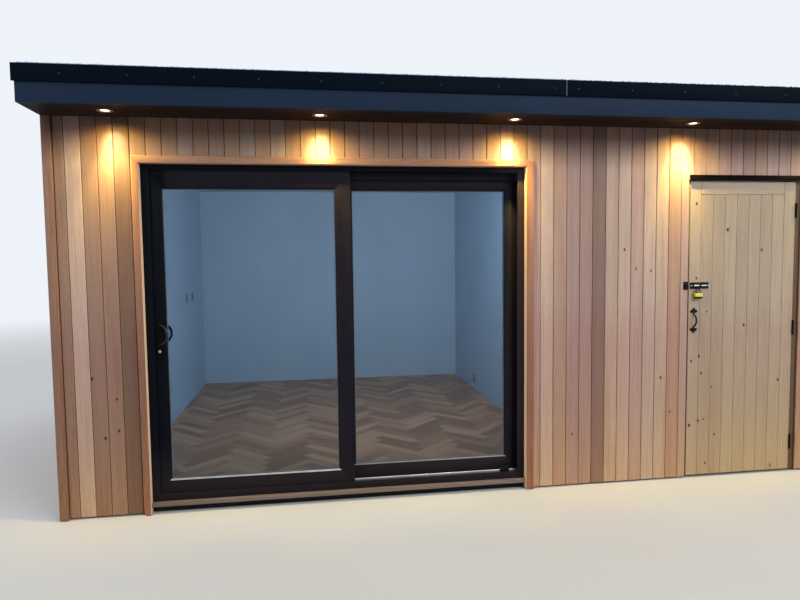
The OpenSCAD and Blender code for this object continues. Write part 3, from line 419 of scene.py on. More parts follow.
# cedar soffit boards, coloured dark as painted shade under the overhang
soffit_wood = wood("soffit_boards_painted_shade", [srgb(37, 28, 26), srgb(47, 36, 32)], along="x",
                   rough=(0.5, 0.7), specular=0.04)
sill_wood = wood("weathered_sill", [srgb(122, 106, 100)], along="x", streak=0.8, pores=0.35)
base_wood = wood("treated_base_timber", [srgb(92, 84, 66)], along="x", pores=0.4)
deck_wood = wood("roof_board", [srgb(176, 150, 112)], along="x")
oak = wood("oak_blocks", [srgb(148, 98, 66), srgb(178, 124, 88), srgb(206, 154, 114)], along="x",
           rough=(0.3, 0.45), bump=0.12, turn="turn", specular=0.12)
oak_boards = wood("oak_store_boards", [srgb(136, 104, 80), srgb(164, 130, 102), srgb(188, 156, 126)],
                  along="x", rough=(0.3, 0.45))

# the white lining is tinted blue-grey as painted bluish shade light
lining = coated("painted_lining", srgb(183, 199, 215), srgb(178, 194, 211), rough=0.75, grain=260.0,
                blotch=1.2, bump=0.12, specular=0.25)
# the side walls' lining is made bluer still, as painted sky light
side_lining = coated("painted_side_lining", srgb(170, 192, 213), srgb(164, 187, 209), rough=0.75,
                     grain=260.0, blotch=1.2, bump=0.12, specular=0.25)
# painted reflection of the pale ground on the lower parts of the frame and sashes
FRAME_FOOT_REFLECTION = (srgb(32, 28, 32), 0.12, 0.46)
# the right jamb is painted lighter through upright, as painted light on its lit face
frame_coat = coated("powder_coated_frame", srgb(9, 13, 20), srgb(13, 16, 24), rough=0.48, grain=1500.0,
                    specular=0.04, foot_reflection=FRAME_FOOT_REFLECTION, upright=(srgb(44, 36, 42), 0.05, -0.15))
# the sashes' coat is lighter than the frame's as painted reflection, and its left stile is painted dark
# again as a painted dark reflection
sash_coat = coated("powder_coated_sash", srgb(27, 25, 33), srgb(32, 30, 38), rough=0.48, grain=1500.0,
                   specular=0.04, foot_reflection=FRAME_FOOT_REFLECTION, upright=(srgb(9, 13, 21), -2.06, -2.03))
black_iron = coated("black_ironmongery", srgb(7, 7, 8), srgb(13, 13, 13), rough=0.34, grain=500.0,
                    bump=0.15, specular=0.14)
handle_black = coated("black_handle_plates", srgb(4, 4, 5), srgb(7, 7, 8), rough=0.4, grain=500.0,
                      bump=0.05, specular=0.06)
gloss_black = coated("gloss_black_bows", srgb(4, 4, 5), srgb(7, 7, 8), rough=0.14, grain=500.0,
                     bump=0.05, specular=0.45)
drip_black = coated("black_drip_bar", srgb(5, 5, 5), srgb(8, 8, 8), rough=0.6, grain=700.0,
                    specular=0.02)
black_strip = coated("black_vent_strip", srgb(16, 16, 18), srgb(26, 26, 28), rough=0.5, specular=0.2)
gasket_rubber = coated("gasket_rubber", srgb(12, 12, 13), srgb(20, 20, 21), rough=0.6, specular=0.2)
fascia_paint = coated("fascia_paint", srgb(28, 42, 61), srgb(33, 47, 67), rough=0.55, grain=400.0,
                      blotch=2.5, bump=0.08, specular=0.06)
kerb_paint = coated("kerb_paint", srgb(5, 14, 24), srgb(8, 17, 28), rough=0.55, grain=400.0, blotch=3.0,
                    bump=0.08, specular=0.02, dust=srgb(150, 166, 190), dust_share=0.9)
joint_strip = coated("kerb_joint_strip", srgb(74, 82, 92), srgb(62, 70, 80), rough=0.5, grain=400.0)
roof_sheet = coated("roof_sheet", srgb(44, 46, 48), srgb(58, 60, 60), rough=0.7, grain=120.0, blotch=1.3,
                    bump=0.25, specular=0.2, dust=srgb(128, 122, 108), dust_share=0.8)
gutter_plastic = coated("gutter_plastic", srgb(20, 21, 23), srgb(30, 31, 33), rough=0.38, blotch=4.0,
                        specular=0.35)
socket_plastic = coated("socket_plastic", srgb(106, 126, 146), srgb(98, 118, 138), rough=0.3, grain=800.0)
spacer_bar = coated("spacer_bar", srgb(150, 150, 152), srgb(138, 138, 142), rough=0.5, specular=0.2)
lamp_rim = coated("lamp_rim", srgb(120, 112, 100), srgb(104, 96, 86), rough=0.35, grain=800.0)
padlock_cover = coated("padlock_cover", srgb(216, 210, 62), srgb(200, 192, 54), rough=0.35, grain=600.0)
pin_grey = coated("pin_heads", srgb(50, 60, 70), srgb(44, 54, 64), rough=0.5, grain=900.0, specular=0.1)
dry_flecks = coated("dry_flecks", srgb(196, 202, 206), srgb(150, 150, 136), rough=0.8, grain=300.0,
                     blotch=40.0, bump=0.3, specular=0.1)
pale_pebbles = coated("pale_pebbles", srgb(170, 188, 218), srgb(118, 138, 174), rough=0.7, grain=200.0,
                      blotch=45.0, bump=0.3, specular=0.2)
grey_pebbles = coated("grey_pebbles", srgb(150, 156, 174), srgb(92, 98, 116), rough=0.7, grain=200.0,
                      blotch=45.0, bump=0.3, specular=0.2)
silver = brushed("bare_aluminium", srgb(168, 166, 166), rough=0.42)
bead_reflection_metal = brushed("bead_painted_reflection", srgb(118, 112, 108), rough=0.46)
rail_silver = brushed("track_aluminium", srgb(206, 206, 208), rough=0.36)
steel = brushed("shackle_steel", srgb(120, 122, 126), along="z", rough=0.24)
bolt_zinc = brushed("bolt_zinc", srgb(176, 178, 182), rough=0.3)
pane_glass = clear_glass("pane_glass", (0.88, 0.93, 0.96, 1))
lamp_lens = lit_lens("lamp_lens", srgb(255, 214, 150), 6.0)


# Shapes


def start():
    """An empty bmesh whose faces carry a tone, a seed and a turn for the wood's pattern."""
    bm = bmesh.new()
    for name in ("tone", "seed", "turn"):
        bm.faces.layers.float.new(name)
    return bm


def add_block(bm, low, high, chamfer=0.0, tone=0.5, matrix=None, turn=0.0, segments=1):
    """A block between two corners with eased edges."""
    low, high = Vector(low), Vector(high)
    place = Matrix.Translation((low + high) / 2) @ Matrix.Diagonal((*(high - low), 1))
    if matrix is not None:
        place = matrix @ place
    corners = bmesh.ops.create_cube(bm, size=1.0, matrix=place)["verts"]
    finish_block(bm, corners, chamfer, tone, turn, segments)


def finish_block(bm, corners, chamfer, tone, turn=0.0, segments=1):
    """Marks the faces between the corners for the wood's pattern, then eases their edges."""
    marks = {"tone": tone, "seed": dice.uniform(0.1, 9.0), "turn": turn}
    for name, value in marks.items():
        layer = bm.faces.layers.float[name]
        for face in {f for v in corners for f in v.link_faces}:
            face[layer] = value
    if chamfer:
        edges = list({e for v in corners for e in v.link_edges})
        bmesh.ops.bevel(bm, geom=edges, offset=chamfer, offset_type="OFFSET", segments=segments,
                        profile=0.5, affect="EDGES", clamp_overlap=True, material=-1)


def drawn_out(bm, outline, reach):
    """A solid from a flat outline to its copy, moved by reach. Gives back its corners."""
    corners = [bm.verts.new(corner) for corner in outline]
    grown = bmesh.ops.extrude_face_region(bm, geom=[bm.faces.new(corners)])["geom"]
    moved = [g for g in grown if isinstance(g, bmesh.types.BMVert)]
    bmesh.ops.translate(bm, verts=moved, vec=reach)
    corners += moved
    bmesh.ops.recalc_face_normals(bm, faces=list({f for v in corners for f in v.link_faces}))
    return corners


def add_cut_board(bm, outline, front, back, tone):
    """An upright board cut to an outline of X and Z corners, with eased edges."""
    corners = drawn_out(bm, [(x, front, z) for x, z in outline], (0, back - front, 0))
    finish_block(bm, corners, BOARD_CHAMFER, tone)


def finished(name, bm, material, body=POD, stands_for=(), smooth=False):
    """Makes the bmesh a piece that rides on its body."""
    mesh = bpy.data.meshes.new(name)
    bm.to_mesh(mesh)
    bm.free()
    mesh.materials.append(material)
    if smooth:
        mesh.polygons.foreach_set("use_smooth", [True] * len(mesh.polygons))
        mesh.set_sharp_from_angle(angle=math.radians(35))
    piece = bpy.data.objects.new(name, mesh)
    bpy.context.scene.collection.objects.link(piece)
    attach(piece, body)
    if stands_for:
        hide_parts(*stands_for)
    return piece


def cad_copy(node):
    """A merged copy of a CAD node's mesh with its flat faces made whole."""
    bm = start()
    bm.from_mesh(nodes[node].data)
    bmesh.ops.remove_doubles(bm, verts=bm.verts, dist=1e-5)
    bmesh.ops.dissolve_limit(bm, angle_limit=math.radians(1), verts=bm.verts, edges=bm.edges)
    return bm


def ease(bm, offset, segments=2, sharp=35):
    """Rounds the sharp edges."""
    edges = [e for e in bm.edges if e.is_manifold and e.calc_face_angle() > math.radians(sharp)]
    bmesh.ops.bevel(bm, geom=edges, offset=offset, offset_type="OFFSET", segments=segments,
                    profile=0.5, affect="EDGES", clamp_overlap=True, material=-1)


def eased_node(node, offset, material, body=POD, segments=2, sharp=35):
    """The CAD node with its edges eased, in place of the node."""
    bm = cad_copy(node)
    ease(bm, offset, segments, sharp)
    return finished("eased_" + node, bm, material, body, (node,), smooth=True)


def cut_beyond(bm, point, normal):
    """Cuts off what lies beyond a plane and closes the cut."""
    geometry = list(bm.verts) + list(bm.edges) + list(bm.faces)
    bmesh.ops.bisect_plane(bm, geom=geometry, dist=1e-6, plane_co=point, plane_no=normal,
                           clear_outer=True)
    rim = [e for e in bm.edges if e.is_boundary]
    if rim:
        bmesh.ops.holes_fill(bm, edges=rim)


def set_material(node, material):
    """A better finish on a CAD node that keeps its shape."""
    mesh = nodes[node].data
    mesh.materials.clear()
    mesh.materials.append(material)


def board_edges():
    """Joints of the front and back cladding, from one corner trim's edge to the other's."""
    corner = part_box("corner_trims")[0].x + CORNER_LEG
    first = math.ceil((corner + SHORTEST - FIRST_JOINT) / COVER)
    joints = []
    place = FIRST_JOINT + first * COVER
    while place < -corner - SHORTEST:
        joints.append(place)
        place += COVER
    return [corner, *joints, -corner]


# Cladding

# tones of the boards that reach the foot of the front wall, as they follow one another from the left; the
# left run is the boards' own tones picked darker, as painted shade on the left of the wall
SHADED_LEFT_RUN = ["fawn", "pink", "fawn", "fawn", "bark", "fawn"]
MIDDLE_RUN = ["rose", "pink", "tan", "mauve", "mauve", "umber", "beige", "pink", "rose", "beige",
              "beige", "tan", "rose"]
RIGHT_RUN = ["tan", "rose", "mauve", "tan", "rose", "fawn", "tan"]
OVER_STORE_DOOR = ["tan", "gold", "tan", "rose", "fawn", "tan", "rose", "mauve", "rose"]


def random_tone():
    """A tone for a board of the sides or the back."""
    return min(1, max(0.14, dice.gauss(0.60, 0.21)))


def header_tone():
    """A tone for a short board over the sliding door."""
    return min(1, max(0.1, dice.gauss(0.62, 0.12)))


def named_tone(name):
    """The named tone, a little lighter or darker."""
    tone = CEDAR_NAMES.index(name) / (len(CEDAR_NAMES) - 1)
    return min(1, max(0, tone + dice.uniform(-0.06, 0.06)))


def front_cladding():
    """Boards at an even pitch; one that meets a doorway's corner is cut round it."""
    wall_low, wall_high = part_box("front_cladding")
    face, back = wall_low.y, wall_high.y - BOARD_BACK
    low, high = wall_low.z, wall_high.z
    door_low, door_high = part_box("slider_surround")
    store_low, store_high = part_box("drip_bar")
    store_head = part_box("store_door_frame")[1].z - STORE_HEAD_LAP
    slider, store = (door_low.x, door_high.x, door_high.z), (store_low.x, store_high.x, store_head)
    sides = [*slider[:2], *store[:2]]
    joints = [next((x for x in sides if abs(x - joint) < SHORTEST), joint) for joint in board_edges()]
    reaching_foot = iter(SHADED_LEFT_RUN + MIDDLE_RUN + RIGHT_RUN)
    over_store = iter(OVER_STORE_DOOR)
    bm = start()
    for joint, next_joint in zip(joints, joints[1:]):
        x0, x1 = joint + BOARD_GAP / 2, next_joint - BOARD_GAP / 2
        doorway = next((d for d in (slider, store) if joint < d[1] and next_joint > d[0]), None)
        if doorway is None:
            tone = named_tone(next(reaching_foot))
            add_block(bm, (x0, face, low), (x1, back, high), BOARD_CHAMFER, tone)
            continue
        door_left, door_right, head = doorway
        if joint < door_left:
            edge = door_left - BOARD_GAP / 2
            outline = [(x0, low), (edge, low), (edge, head), (x1, head), (x1, high), (x0, high)]
            add_cut_board(bm, outline, face, back, named_tone(next(reaching_foot)))
        elif next_joint > door_right:
            edge = door_right + BOARD_GAP / 2
            outline = [(edge, low), (x1, low), (x1, high), (x0, high), (x0, head), (edge, head)]
            add_cut_board(bm, outline, face, back, named_tone(next(reaching_foot)))
        else:
            tone = named_tone(next(over_store)) if doorway is store else header_tone()
            add_block(bm, (x0, face, head), (x1, back, high), BOARD_CHAMFER, tone)
    finished("front_boards", bm, cedar, stands_for=("front_cladding",))

    backing = start()
    for x0, x1, z0 in ((wall_low.x, slider[0], low), slider, (slider[1], store[0], low), store,
                       (store[1], wall_high.x, low)):
        add_block(backing, (x0, back, z0 + TONGUE_SHORT), (x1, wall_high.y, high - TONGUE_SHORT))
    finished("front_board_tongues", backing, tongue_shade_wood)


def back_cladding():
    """Boards at the front's pitch, over the whole back wall."""
    low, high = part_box("back_cladding")
    bm = start()
    joints = board_edges()
    for joint, next_joint in zip(joints, joints[1:]):
        x0, x1 = joint + BOARD_GAP / 2, next_joint - BOARD_GAP / 2
        add_block(bm, (x0, low.y + BOARD_BACK, low.z), (x1, high.y, high.z), BOARD_CHAMFER, random_tone())
    finished("back_boards", bm, cedar, stands_for=("back_cladding",))
    backing = start()
    add_block(backing, (low.x, low.y, low.z + TONGUE_SHORT),
              (high.x, low.y + BOARD_BACK, high.z - TONGUE_SHORT))
    finished("back_board_tongues", backing, tongue_shade_wood)


def side_cladding():
    """Boards over both sides, at the even pitch that comes nearest to the front's."""
    low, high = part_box("side_cladding")
    trim_low, trim_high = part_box("corner_trims")
    start_y, end_y = trim_low.y + CORNER_LEG, trim_high.y - CORNER_LEG
    count = round((end_y - start_y) / COVER)
    cover = (end_y - start_y) / count
    bm, backing = start(), start()
    back_low, back_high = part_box("back_cladding")
    thick = back_high.y - back_low.y
    for side in (-1, 1):
        outer, inner = side * high.x, side * (high.x - thick)
        shelf = inner + side * BOARD_BACK
        for index in range(count):
            y0 = start_y + index * cover + BOARD_GAP / 2
            y1 = start_y + (index + 1) * cover - BOARD_GAP / 2
            add_block(bm, (min(outer, shelf), y0, low.z), (max(outer, shelf), y1, high.z),
                      BOARD_CHAMFER, random_tone())
        add_block(backing, (min(inner, shelf), low.y, low.z + TONGUE_SHORT),
                  (max(inner, shelf), high.y, high.z - TONGUE_SHORT))
    finished("side_boards", bm, cedar, stands_for=("side_cladding",))
    finished("side_board_tongues", backing, tongue_shade_wood)


front_cladding()
back_cladding()
side_cladding()


def loose_parts(bm):
    """The vertices, in one list for each part that hangs together."""
    parts, seen = [], set()
    for vert in bm.verts:
        if vert in seen:
            continue
        part, queue = [], [vert]
        seen.add(vert)
        while queue:
            here = queue.pop()
            part.append(here)
            for edge in here.link_edges:
                there = edge.other_vert(here)
                if there not in seen:
                    seen.add(there)
                    queue.append(there)
        parts.append(part)
    return parts


def slider_surround():
    """Three mitred boards; the head's grain runs along X."""
    head_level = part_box("outer_frame")[1].z - 0.05  # only the head board lies wholly above this
    posts, head = cad_copy("slider_surround"), cad_copy("slider_surround")
    for bm, wanted in ((posts, False), (head, True)):
        for part in loose_parts(bm):
            is_head = min(v.co.z for v in part) > head_level
            if is_head != wanted:
                bmesh.ops.delete(bm, geom=part, context="VERTS")
        ease(bm, BOARD_CHAMFER)
    finished("doorway_posts", posts, cedar_posts, stands_for=("slider_surround",),
             smooth=True)
    finished("doorway_head", head, cedar_head, smooth=True)


slider_surround()
eased_node("corner_trims", 0.0025, cedar_trim)
eased_node("door_sill", 0.0015, sill_wood)
eased_node("vent_strip", 0.0006, black_strip, segments=1)


# Sliding door

for bar_node, coat, bar_body in (("outer_frame", frame_coat, POD), ("fixed_sash", sash_coat, POD),
                                ("sliding_sash", sash_coat, SLIDER)):
    eased_node(bar_node, 0.0008, coat, bar_body)

GLASS_EDGE = 0.012  # how far the glass reaches in behind the bead
SHEET = 0.004  # thickness of each of the two sheets
SPACER_SHOWN = 0.006  # width of the spacer that shows past the bead
GASKET_SHOWN = 0.003  # width of the gasket that shows past the bead
GASKET_PROUD = 0.0015
BEAD_REACH = 0.010  # how far the bead's slope runs on behind the stiles
BEAD_FOOT, BEAD_TOP = -0.0125, 0.0005  # the slope's edges over the line where the glass begins to show
BEAD_FACE, BEAD_INNER = 0.0092, 0.0016  # how far those edges stand in front of the glass
BEAD_SKIN = 0.0012  # thickness of the bright painted reflection strip on the slope


def add_border(bm, x0, x1, z0, z1, width, front, back, chamfer):
    """Four bars along the inside of an upright rectangle; the side bars run its whole height."""
    for left, right, foot, top in ((x0, x0 + width, z0, z1), (x1 - width, x1, z0, z1),
                                   (x0 + width, x1 - width, z0, z0 + width),
                                   (x0 + width, x1 - width, z1 - width, z1)):
        add_block(bm, (left, front, foot), (right, back, top), chamfer)


def glazing(node, body, metal, dark_share):
    """Two sheets with a spacer between them, gaskets, and a bright strip on the bottom bead's slope as a
    painted reflection.

    dark_share is the share of the slope that stays dark, from the sash's face inwards.
    """
    low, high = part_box(node)
    sheets = start()
    add_block(sheets, low, (high.x, low.y + SHEET, high.z), 0.0004)
    add_block(sheets, (low.x, high.y - SHEET, low.z), high, 0.0004)
    finished(node + "_sheets", sheets, pane_glass, body, (node,))

    spacer, gasket = start(), start()
    add_border(spacer, low.x, high.x, low.z, high.z, GLASS_EDGE + SPACER_SHOWN, low.y + SHEET,
               high.y - SHEET, 0.0003)
    left, right = low.x + GLASS_EDGE, high.x - GLASS_EDGE
    sight, head = low.z + GLASS_EDGE, high.z - GLASS_EDGE
    for front, back in ((low.y - GASKET_PROUD, low.y), (high.y, high.y + GASKET_PROUD)):
        add_border(gasket, left, right, sight, head, GASKET_SHOWN, front, back, 0.0005)
    finished(node + "_spacer", spacer, spacer_bar, body)
    finished(node + "_gasket", gasket, gasket_rubber, body)

    # bright strip on the bottom bead's slope, from the sash's face back to the glass: a painted reflection
    # of the sky
    bead = start()
    foot, top = sight + BEAD_FOOT, sight + BEAD_TOP
    face, inner = low.y - BEAD_FACE, low.y - BEAD_INNER
    bottom = foot + dark_share * (top - foot)
    front = face + dark_share * (inner - face)
    outline = [(front, bottom), (inner, top), (inner, top + BEAD_SKIN),
               (front - BEAD_SKIN / 2, bottom + BEAD_SKIN)]
    drawn_out(bead, [(left - BEAD_REACH, y, z) for y, z in outline],
              (right - left + 2 * BEAD_REACH, 0, 0))
    finished(node + "_bottom_bead", bead, metal, body)


# the strips on the beads are painted reflections; the sliding sash's, in the bare aluminium, is brighter
glazing("fixed_glass", POD, bead_reflection_metal, 0.5)
glazing("sliding_glass", SLIDER, silver, 0.35)

eased_node("track_rail", 0.0020, rail_silver, segments=3)
set_material("sash_rollers", silver)
set_material("lock_cylinder", silver)
eased_node("track_stop", 0.0012, black_iron, segments=3)

HANDLE_PLATE = 0.0082  # thickness of a handle's plate and the roots of its bow


def handle(node, outward):
    """The handle's plate and, in a smoother coat, its bow. outward is the bow's side along Y."""
    low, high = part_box(node)
    level = high.y - HANDLE_PLATE if outward < 0 else low.y + HANDLE_PLATE
    plate, bow = cad_copy(node), cad_copy(node)
    cut_beyond(plate, (0, level, 0), (0, outward, 0))
    cut_beyond(bow, (0, level, 0), (0, -outward, 0))
    for bm in (plate, bow):
        ease(bm, 0.0010, sharp=50)
    finished(node + "_plate", plate, handle_black, SLIDER, (node,), smooth=True)
    finished(node + "_bow", bow, gloss_black, SLIDER, smooth=True)


handle("outside_handle", -1)
handle("inside_handle", 1)


# Store door

LEFT_STILE, RIGHT_STILE, TOP_RAIL = 0.078, 0.082, 0.085
LEAF_BOARDS = 7
LEAF_BOARD_DEPTH = 0.020
LEAF_CHAMFER = 0.0018
LEAF_GAP = 0.001  # gap between the leaf's boards


def store_leaf():
    """Stiles, top rail and boards on the face, and the framing behind them."""
    low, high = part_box("store_door_leaf")
    front, back = low.y, low.y + LEAF_BOARD_DEPTH
    half_gap = LEAF_GAP / 2
    inner_left, inner_right = low.x + LEFT_STILE, high.x - RIGHT_STILE
    rail = high.z - TOP_RAIL
    bm = start()
    add_block(bm, low, (inner_left - half_gap, back, high.z), LEAF_CHAMFER, 0.45)
    add_block(bm, (inner_right + half_gap, front, low.z), (high.x, back, high.z), LEAF_CHAMFER, 0.60)
    cover = (inner_right - inner_left) / LEAF_BOARDS
    for index in range(LEAF_BOARDS):
        x0 = inner_left + index * cover
        add_block(bm, (x0 + half_gap, front, low.z), (x0 + cover - half_gap, back, rail - half_gap),
                  LEAF_CHAMFER, dice.uniform(0.15, 0.75))
    finished("store_door_boards", bm, pine_front, STORE, ("store_door_leaf",))
    top = start()
    add_block(top, (inner_left + half_gap, front, rail + half_gap),
              (inner_right - half_gap, back, high.z), LEAF_CHAMFER)
    finished("store_door_top_rail", top, pine_rail, STORE)
    framing = cad_copy("store_door_leaf")
    cut_beyond(framing, (0, back + 0.0003, 0), (0, -1, 0))
    ease(framing, 0.0015, 1)
    finished("store_door_framing", framing, pine, STORE)


store_leaf()
eased_node("store_door_frame", 0.0010, jamb_wood, segments=1)
eased_node("drip_bar", 0.0010, drip_black)
eased_node("frame_hinges", 0.0004, black_iron, segments=1, sharp=60)
eased_node("door_hinges", 0.0004, black_iron, STORE, segments=1, sharp=60)
eased_node("bolt_plate", 0.0005, black_iron, STORE, segments=1, sharp=60)
eased_node("bolt_keep", 0.0005, black_iron, segments=1, sharp=60)
eased_node("pull_handle", 0.0006, black_iron, STORE, segments=1, sharp=60)
set_material("bolt_rod", bolt_zinc)


PADLOCK_FOOT, PADLOCK_BODY = 0.012, 0.036  # tops of the foot and the cover over the lower end


def padlock():
    """Yellow cover with a black foot, and a steel shackle."""
    low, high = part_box("padlock")
    foot_top, body_top = low.z + PADLOCK_FOOT, low.z + PADLOCK_BODY
    cover, foot = start(), start()
    add_block(cover, (low.x, low.y, foot_top), (high.x, high.y, body_top), 0.003, segments=3)
    add_block(foot, low, (high.x, high.y, foot_top - 0.0002), 0.002, segments=2)
    finished("padlock_body", cover, padlock_cover, STORE, ("padlock",), smooth=True)
    finished("padlock_foot", foot, black_iron, STORE, smooth=True)
    shackle = cad_copy("padlock")
    cut_beyond(shackle, (0, 0, body_top + 0.0001), (0, 0, -1))
    finished("padlock_shackle", shackle, steel, STORE, smooth=True)


padlock()


# Roof edge


LIGHT_BOARD = 0.095  # width of the soffit board that holds the lights
SOFFIT_JOINT = 0.0016
LAMP_COUNT = 5
LENS_RISE = 0.0052  # height of a lens's middle over the lower face of its rim
LENS_LOWER, LENS_UPPER = 0.56, 0.63  # radii of a lens's two faces, as shares of its rim's


def soffit():
    """Three boards along the overhang; the middle one has the holes for the lights."""
    low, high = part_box("soffit")
    lights_low, lights_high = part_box("soffit_lights")
    middle = (lights_low.y + lights_high.y) / 2
    front, back = middle - LIGHT_BOARD / 2, middle + LIGHT_BOARD / 2
    bm = cad_copy("soffit")
    cut_beyond(bm, (0, front + SOFFIT_JOINT / 2, 0), (0, -1, 0))
    cut_beyond(bm, (0, back - SOFFIT_JOINT / 2, 0), (0, 1, 0))
    finished("soffit_light_board", bm, soffit_wood, stands_for=("soffit",))
    outer = start()
    for y0, y1, tone in ((low.y, front, 0.3), (back, high.y, 0.9)):
        add_block(outer, (low.x, y0, low.z), (high.x, y1, high.z), 0.0015, tone)
    finished("soffit_boards", outer, soffit_wood)


def lenses():
    """A dished lens in each light. Gives back the middles of the lights' lower faces."""
    low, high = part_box("soffit_lights")
    middle_y = (low.y + high.y) / 2
    radius = (high.y - low.y) / 2
    spacing = (high.x - low.x - 2 * radius) / (LAMP_COUNT - 1)
    centres = [Vector((low.x + radius + index * spacing, middle_y, low.z)) for index in range(LAMP_COUNT)]
    bm = start()
    for centre in centres:
        bmesh.ops.create_cone(bm, cap_ends=True, segments=40, radius1=radius * LENS_LOWER,
                              radius2=radius * LENS_UPPER, depth=0.002,
                              matrix=Matrix.Translation(centre + Vector((0, 0, LENS_RISE))))
    finished("lamp_lenses", bm, lamp_lens, smooth=True)
    return centres


soffit()
lamp_places = lenses()
set_material("soffit_lights", lamp_rim)
eased_node("fascia_boards", 0.0015, fascia_paint)
set_material("roof_deck", deck_wood)
set_material("roof_covering", roof_sheet)
eased_node("rear_gutter", 0.0012, gutter_plastic)
eased_node("downpipe", 0.0010, gutter_plastic, segments=1, sharp=60)


PIN_SPACING = 0.332
LEFT_PIN, RIGHT_PIN = 0.185, 0.330  # X of the pins beside the joint in the front kerb
KERB_JOINT = 0.258  # X of that joint
JOINT_STRIP = 0.0046  # width of the strip in it
STRIP_FOOT, STRIP_TOP = 0.098, 0.0115  # how far the strip's ends lie under the kerb's top
PIN_PROUD = 0.0005  # how far the trim's outer faces are set back, so that the pins stand proud
PIN_HEAD, PIN_DEPTH = 0.0040, 0.0012  # radius and thickness of a pin's head
PIN_MIDDLE = PIN_DEPTH / 2 + 0.0001  # how far its middle lies inside the node's box
PIN_LEVEL = 0.058  # how far the pins are under the kerb's top
PIN_END = 0.05  # least distance of a pin from the end of the front
SIDE_PIN = 0.12  # distance of the first pin on a side from the front


def kerb():
    """The kerb trim, its outer faces set back a little so that the pins stand proud of them."""
    low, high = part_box("kerb_trims")
    bm = cad_copy("kerb_trims")
    for vert in bm.verts:
        if vert.co.y - low.y < PIN_PROUD:
            vert.co.y = low.y + PIN_PROUD
        vert.co.x = max(low.x + PIN_PROUD, min(high.x - PIN_PROUD, vert.co.x))
    ease(bm, 0.0025)
    finished("eased_kerb_trims", bm, kerb_paint, stands_for=("kerb_trims",), smooth=True)


def kerb_pins():
    """Small nail heads along the front and side faces of the kerb trim."""
    low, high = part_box("kerb_trims")
    level = high.z - PIN_LEVEL
    left_count = int((LEFT_PIN - low.x - PIN_END) / PIN_SPACING)
    right_count = int((high.x - PIN_END - RIGHT_PIN) / PIN_SPACING)
    rows = [LEFT_PIN - index * PIN_SPACING for index in range(left_count + 1)]
    rows += [RIGHT_PIN + index * PIN_SPACING for index in range(right_count + 1)]
    facing = Matrix.Rotation(math.radians(90), 4, "X")
    spots = [Matrix.Translation((x, low.y + PIN_MIDDLE, level)) @ facing for x in rows]
    sideways = Matrix.Rotation(math.radians(90), 4, "Y")
    for index in range(int((high.y - low.y) / PIN_SPACING)):
        y = low.y + SIDE_PIN + index * PIN_SPACING
        for x in (low.x + PIN_MIDDLE, high.x - PIN_MIDDLE):
            spots.append(Matrix.Translation((x, y, level)) @ sideways)
    bm = start()
    for spot in spots:
        bmesh.ops.create_cone(bm, cap_ends=True, segments=10, radius1=PIN_HEAD, radius2=PIN_HEAD,
                              depth=PIN_DEPTH, matrix=spot)
    finished("kerb_pins", bm, pin_grey, smooth=True)


def kerb_joint():
    """Pale strip in the joint between the two front lengths of the kerb trim."""
    low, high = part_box("kerb_trims")
    bm = start()
    add_block(bm, (KERB_JOINT - JOINT_STRIP / 2, low.y + 0.001, high.z - STRIP_FOOT),
              (KERB_JOINT + JOINT_STRIP / 2, low.y + 0.004, high.z - STRIP_TOP), 0.0004)
    finished("kerb_joint_strip", bm, joint_strip)


kerb()
kerb_pins()
kerb_joint()


FLECKS = 900
SHEET_FALL = 0.038  # how much lower the roof sheet lies at the back
KERB_RUN, KERB_RISE = 0.056, 0.010  # depth and height of the slope on the kerb's top

# shortest and longest half length of the stones, and how far apart they are in half lengths
PALE_STONES, GREY_STONES = (0.008, 0.019, 0.9), (0.004, 0.011, 1.7)


def roof_flecks():
    """Pale dry flecks blown over the roof sheet, most of them near its front."""
    low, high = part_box("roof_covering")
    run = high.y - low.y
    chance = random.Random(5)
    bm = start()
    for _ in range(FLECKS):
        x = chance.uniform(low.x + 0.02, high.x - 0.02)
        y = low.y + 0.02 + abs(chance.gauss(0, 0.9)) % (run - 0.06)
        top = high.z - (y - low.y) / run * SHEET_FALL
        length = chance.uniform(0.006, 0.016)
        spin = Matrix.Rotation(chance.uniform(0, math.tau), 4, "Z")
        lean = Matrix.Rotation(chance.uniform(-0.25, 0.25), 4, "X")
        shape = Matrix.Diagonal((length, length * chance.uniform(0.5, 0.9), 0.0012, 1))
        place = Matrix.Translation((x, y, top + 0.001))
        bmesh.ops.create_icosphere(bm, subdivisions=1, radius=1.0, matrix=place @ spin @ lean @ shape)
    finished("roof_flecks", bm, dry_flecks)


def pebbles():
    """Pale rounded stones along the kerb's front slope, smaller and greyer right of its joint."""
    low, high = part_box("kerb_trims")
    chance = random.Random(8)
    pale, dull = start(), start()
    x = low.x + 0.03
    while x < high.x - 0.03:
        left = x < KERB_JOINT
        shortest, longest, spacing = PALE_STONES if left else GREY_STONES
        length = chance.uniform(shortest, longest)
        depth = chance.uniform(length + 0.001, length + 0.012)
        ground = high.z - KERB_RISE + depth / KERB_RUN * KERB_RISE
        height = min(length * 0.62, high.z - ground - 0.0002)
        spin = Matrix.Rotation(chance.uniform(0, math.tau), 4, "Z")
        shape = Matrix.Diagonal((length, length * chance.uniform(0.65, 0.8), height, 1))
        place = Matrix.Translation((x, low.y + depth, ground))
        bmesh.ops.create_icosphere(pale if left else dull, subdivisions=1, radius=1.0,
                                   matrix=place @ spin @ shape)
        x += length * spacing
    finished("kerb_pale_stones", pale, pale_pebbles, smooth=True)
    finished("kerb_grey_stones", dull, grey_pebbles, smooth=True)


roof_flecks()
pebbles()

# Inside


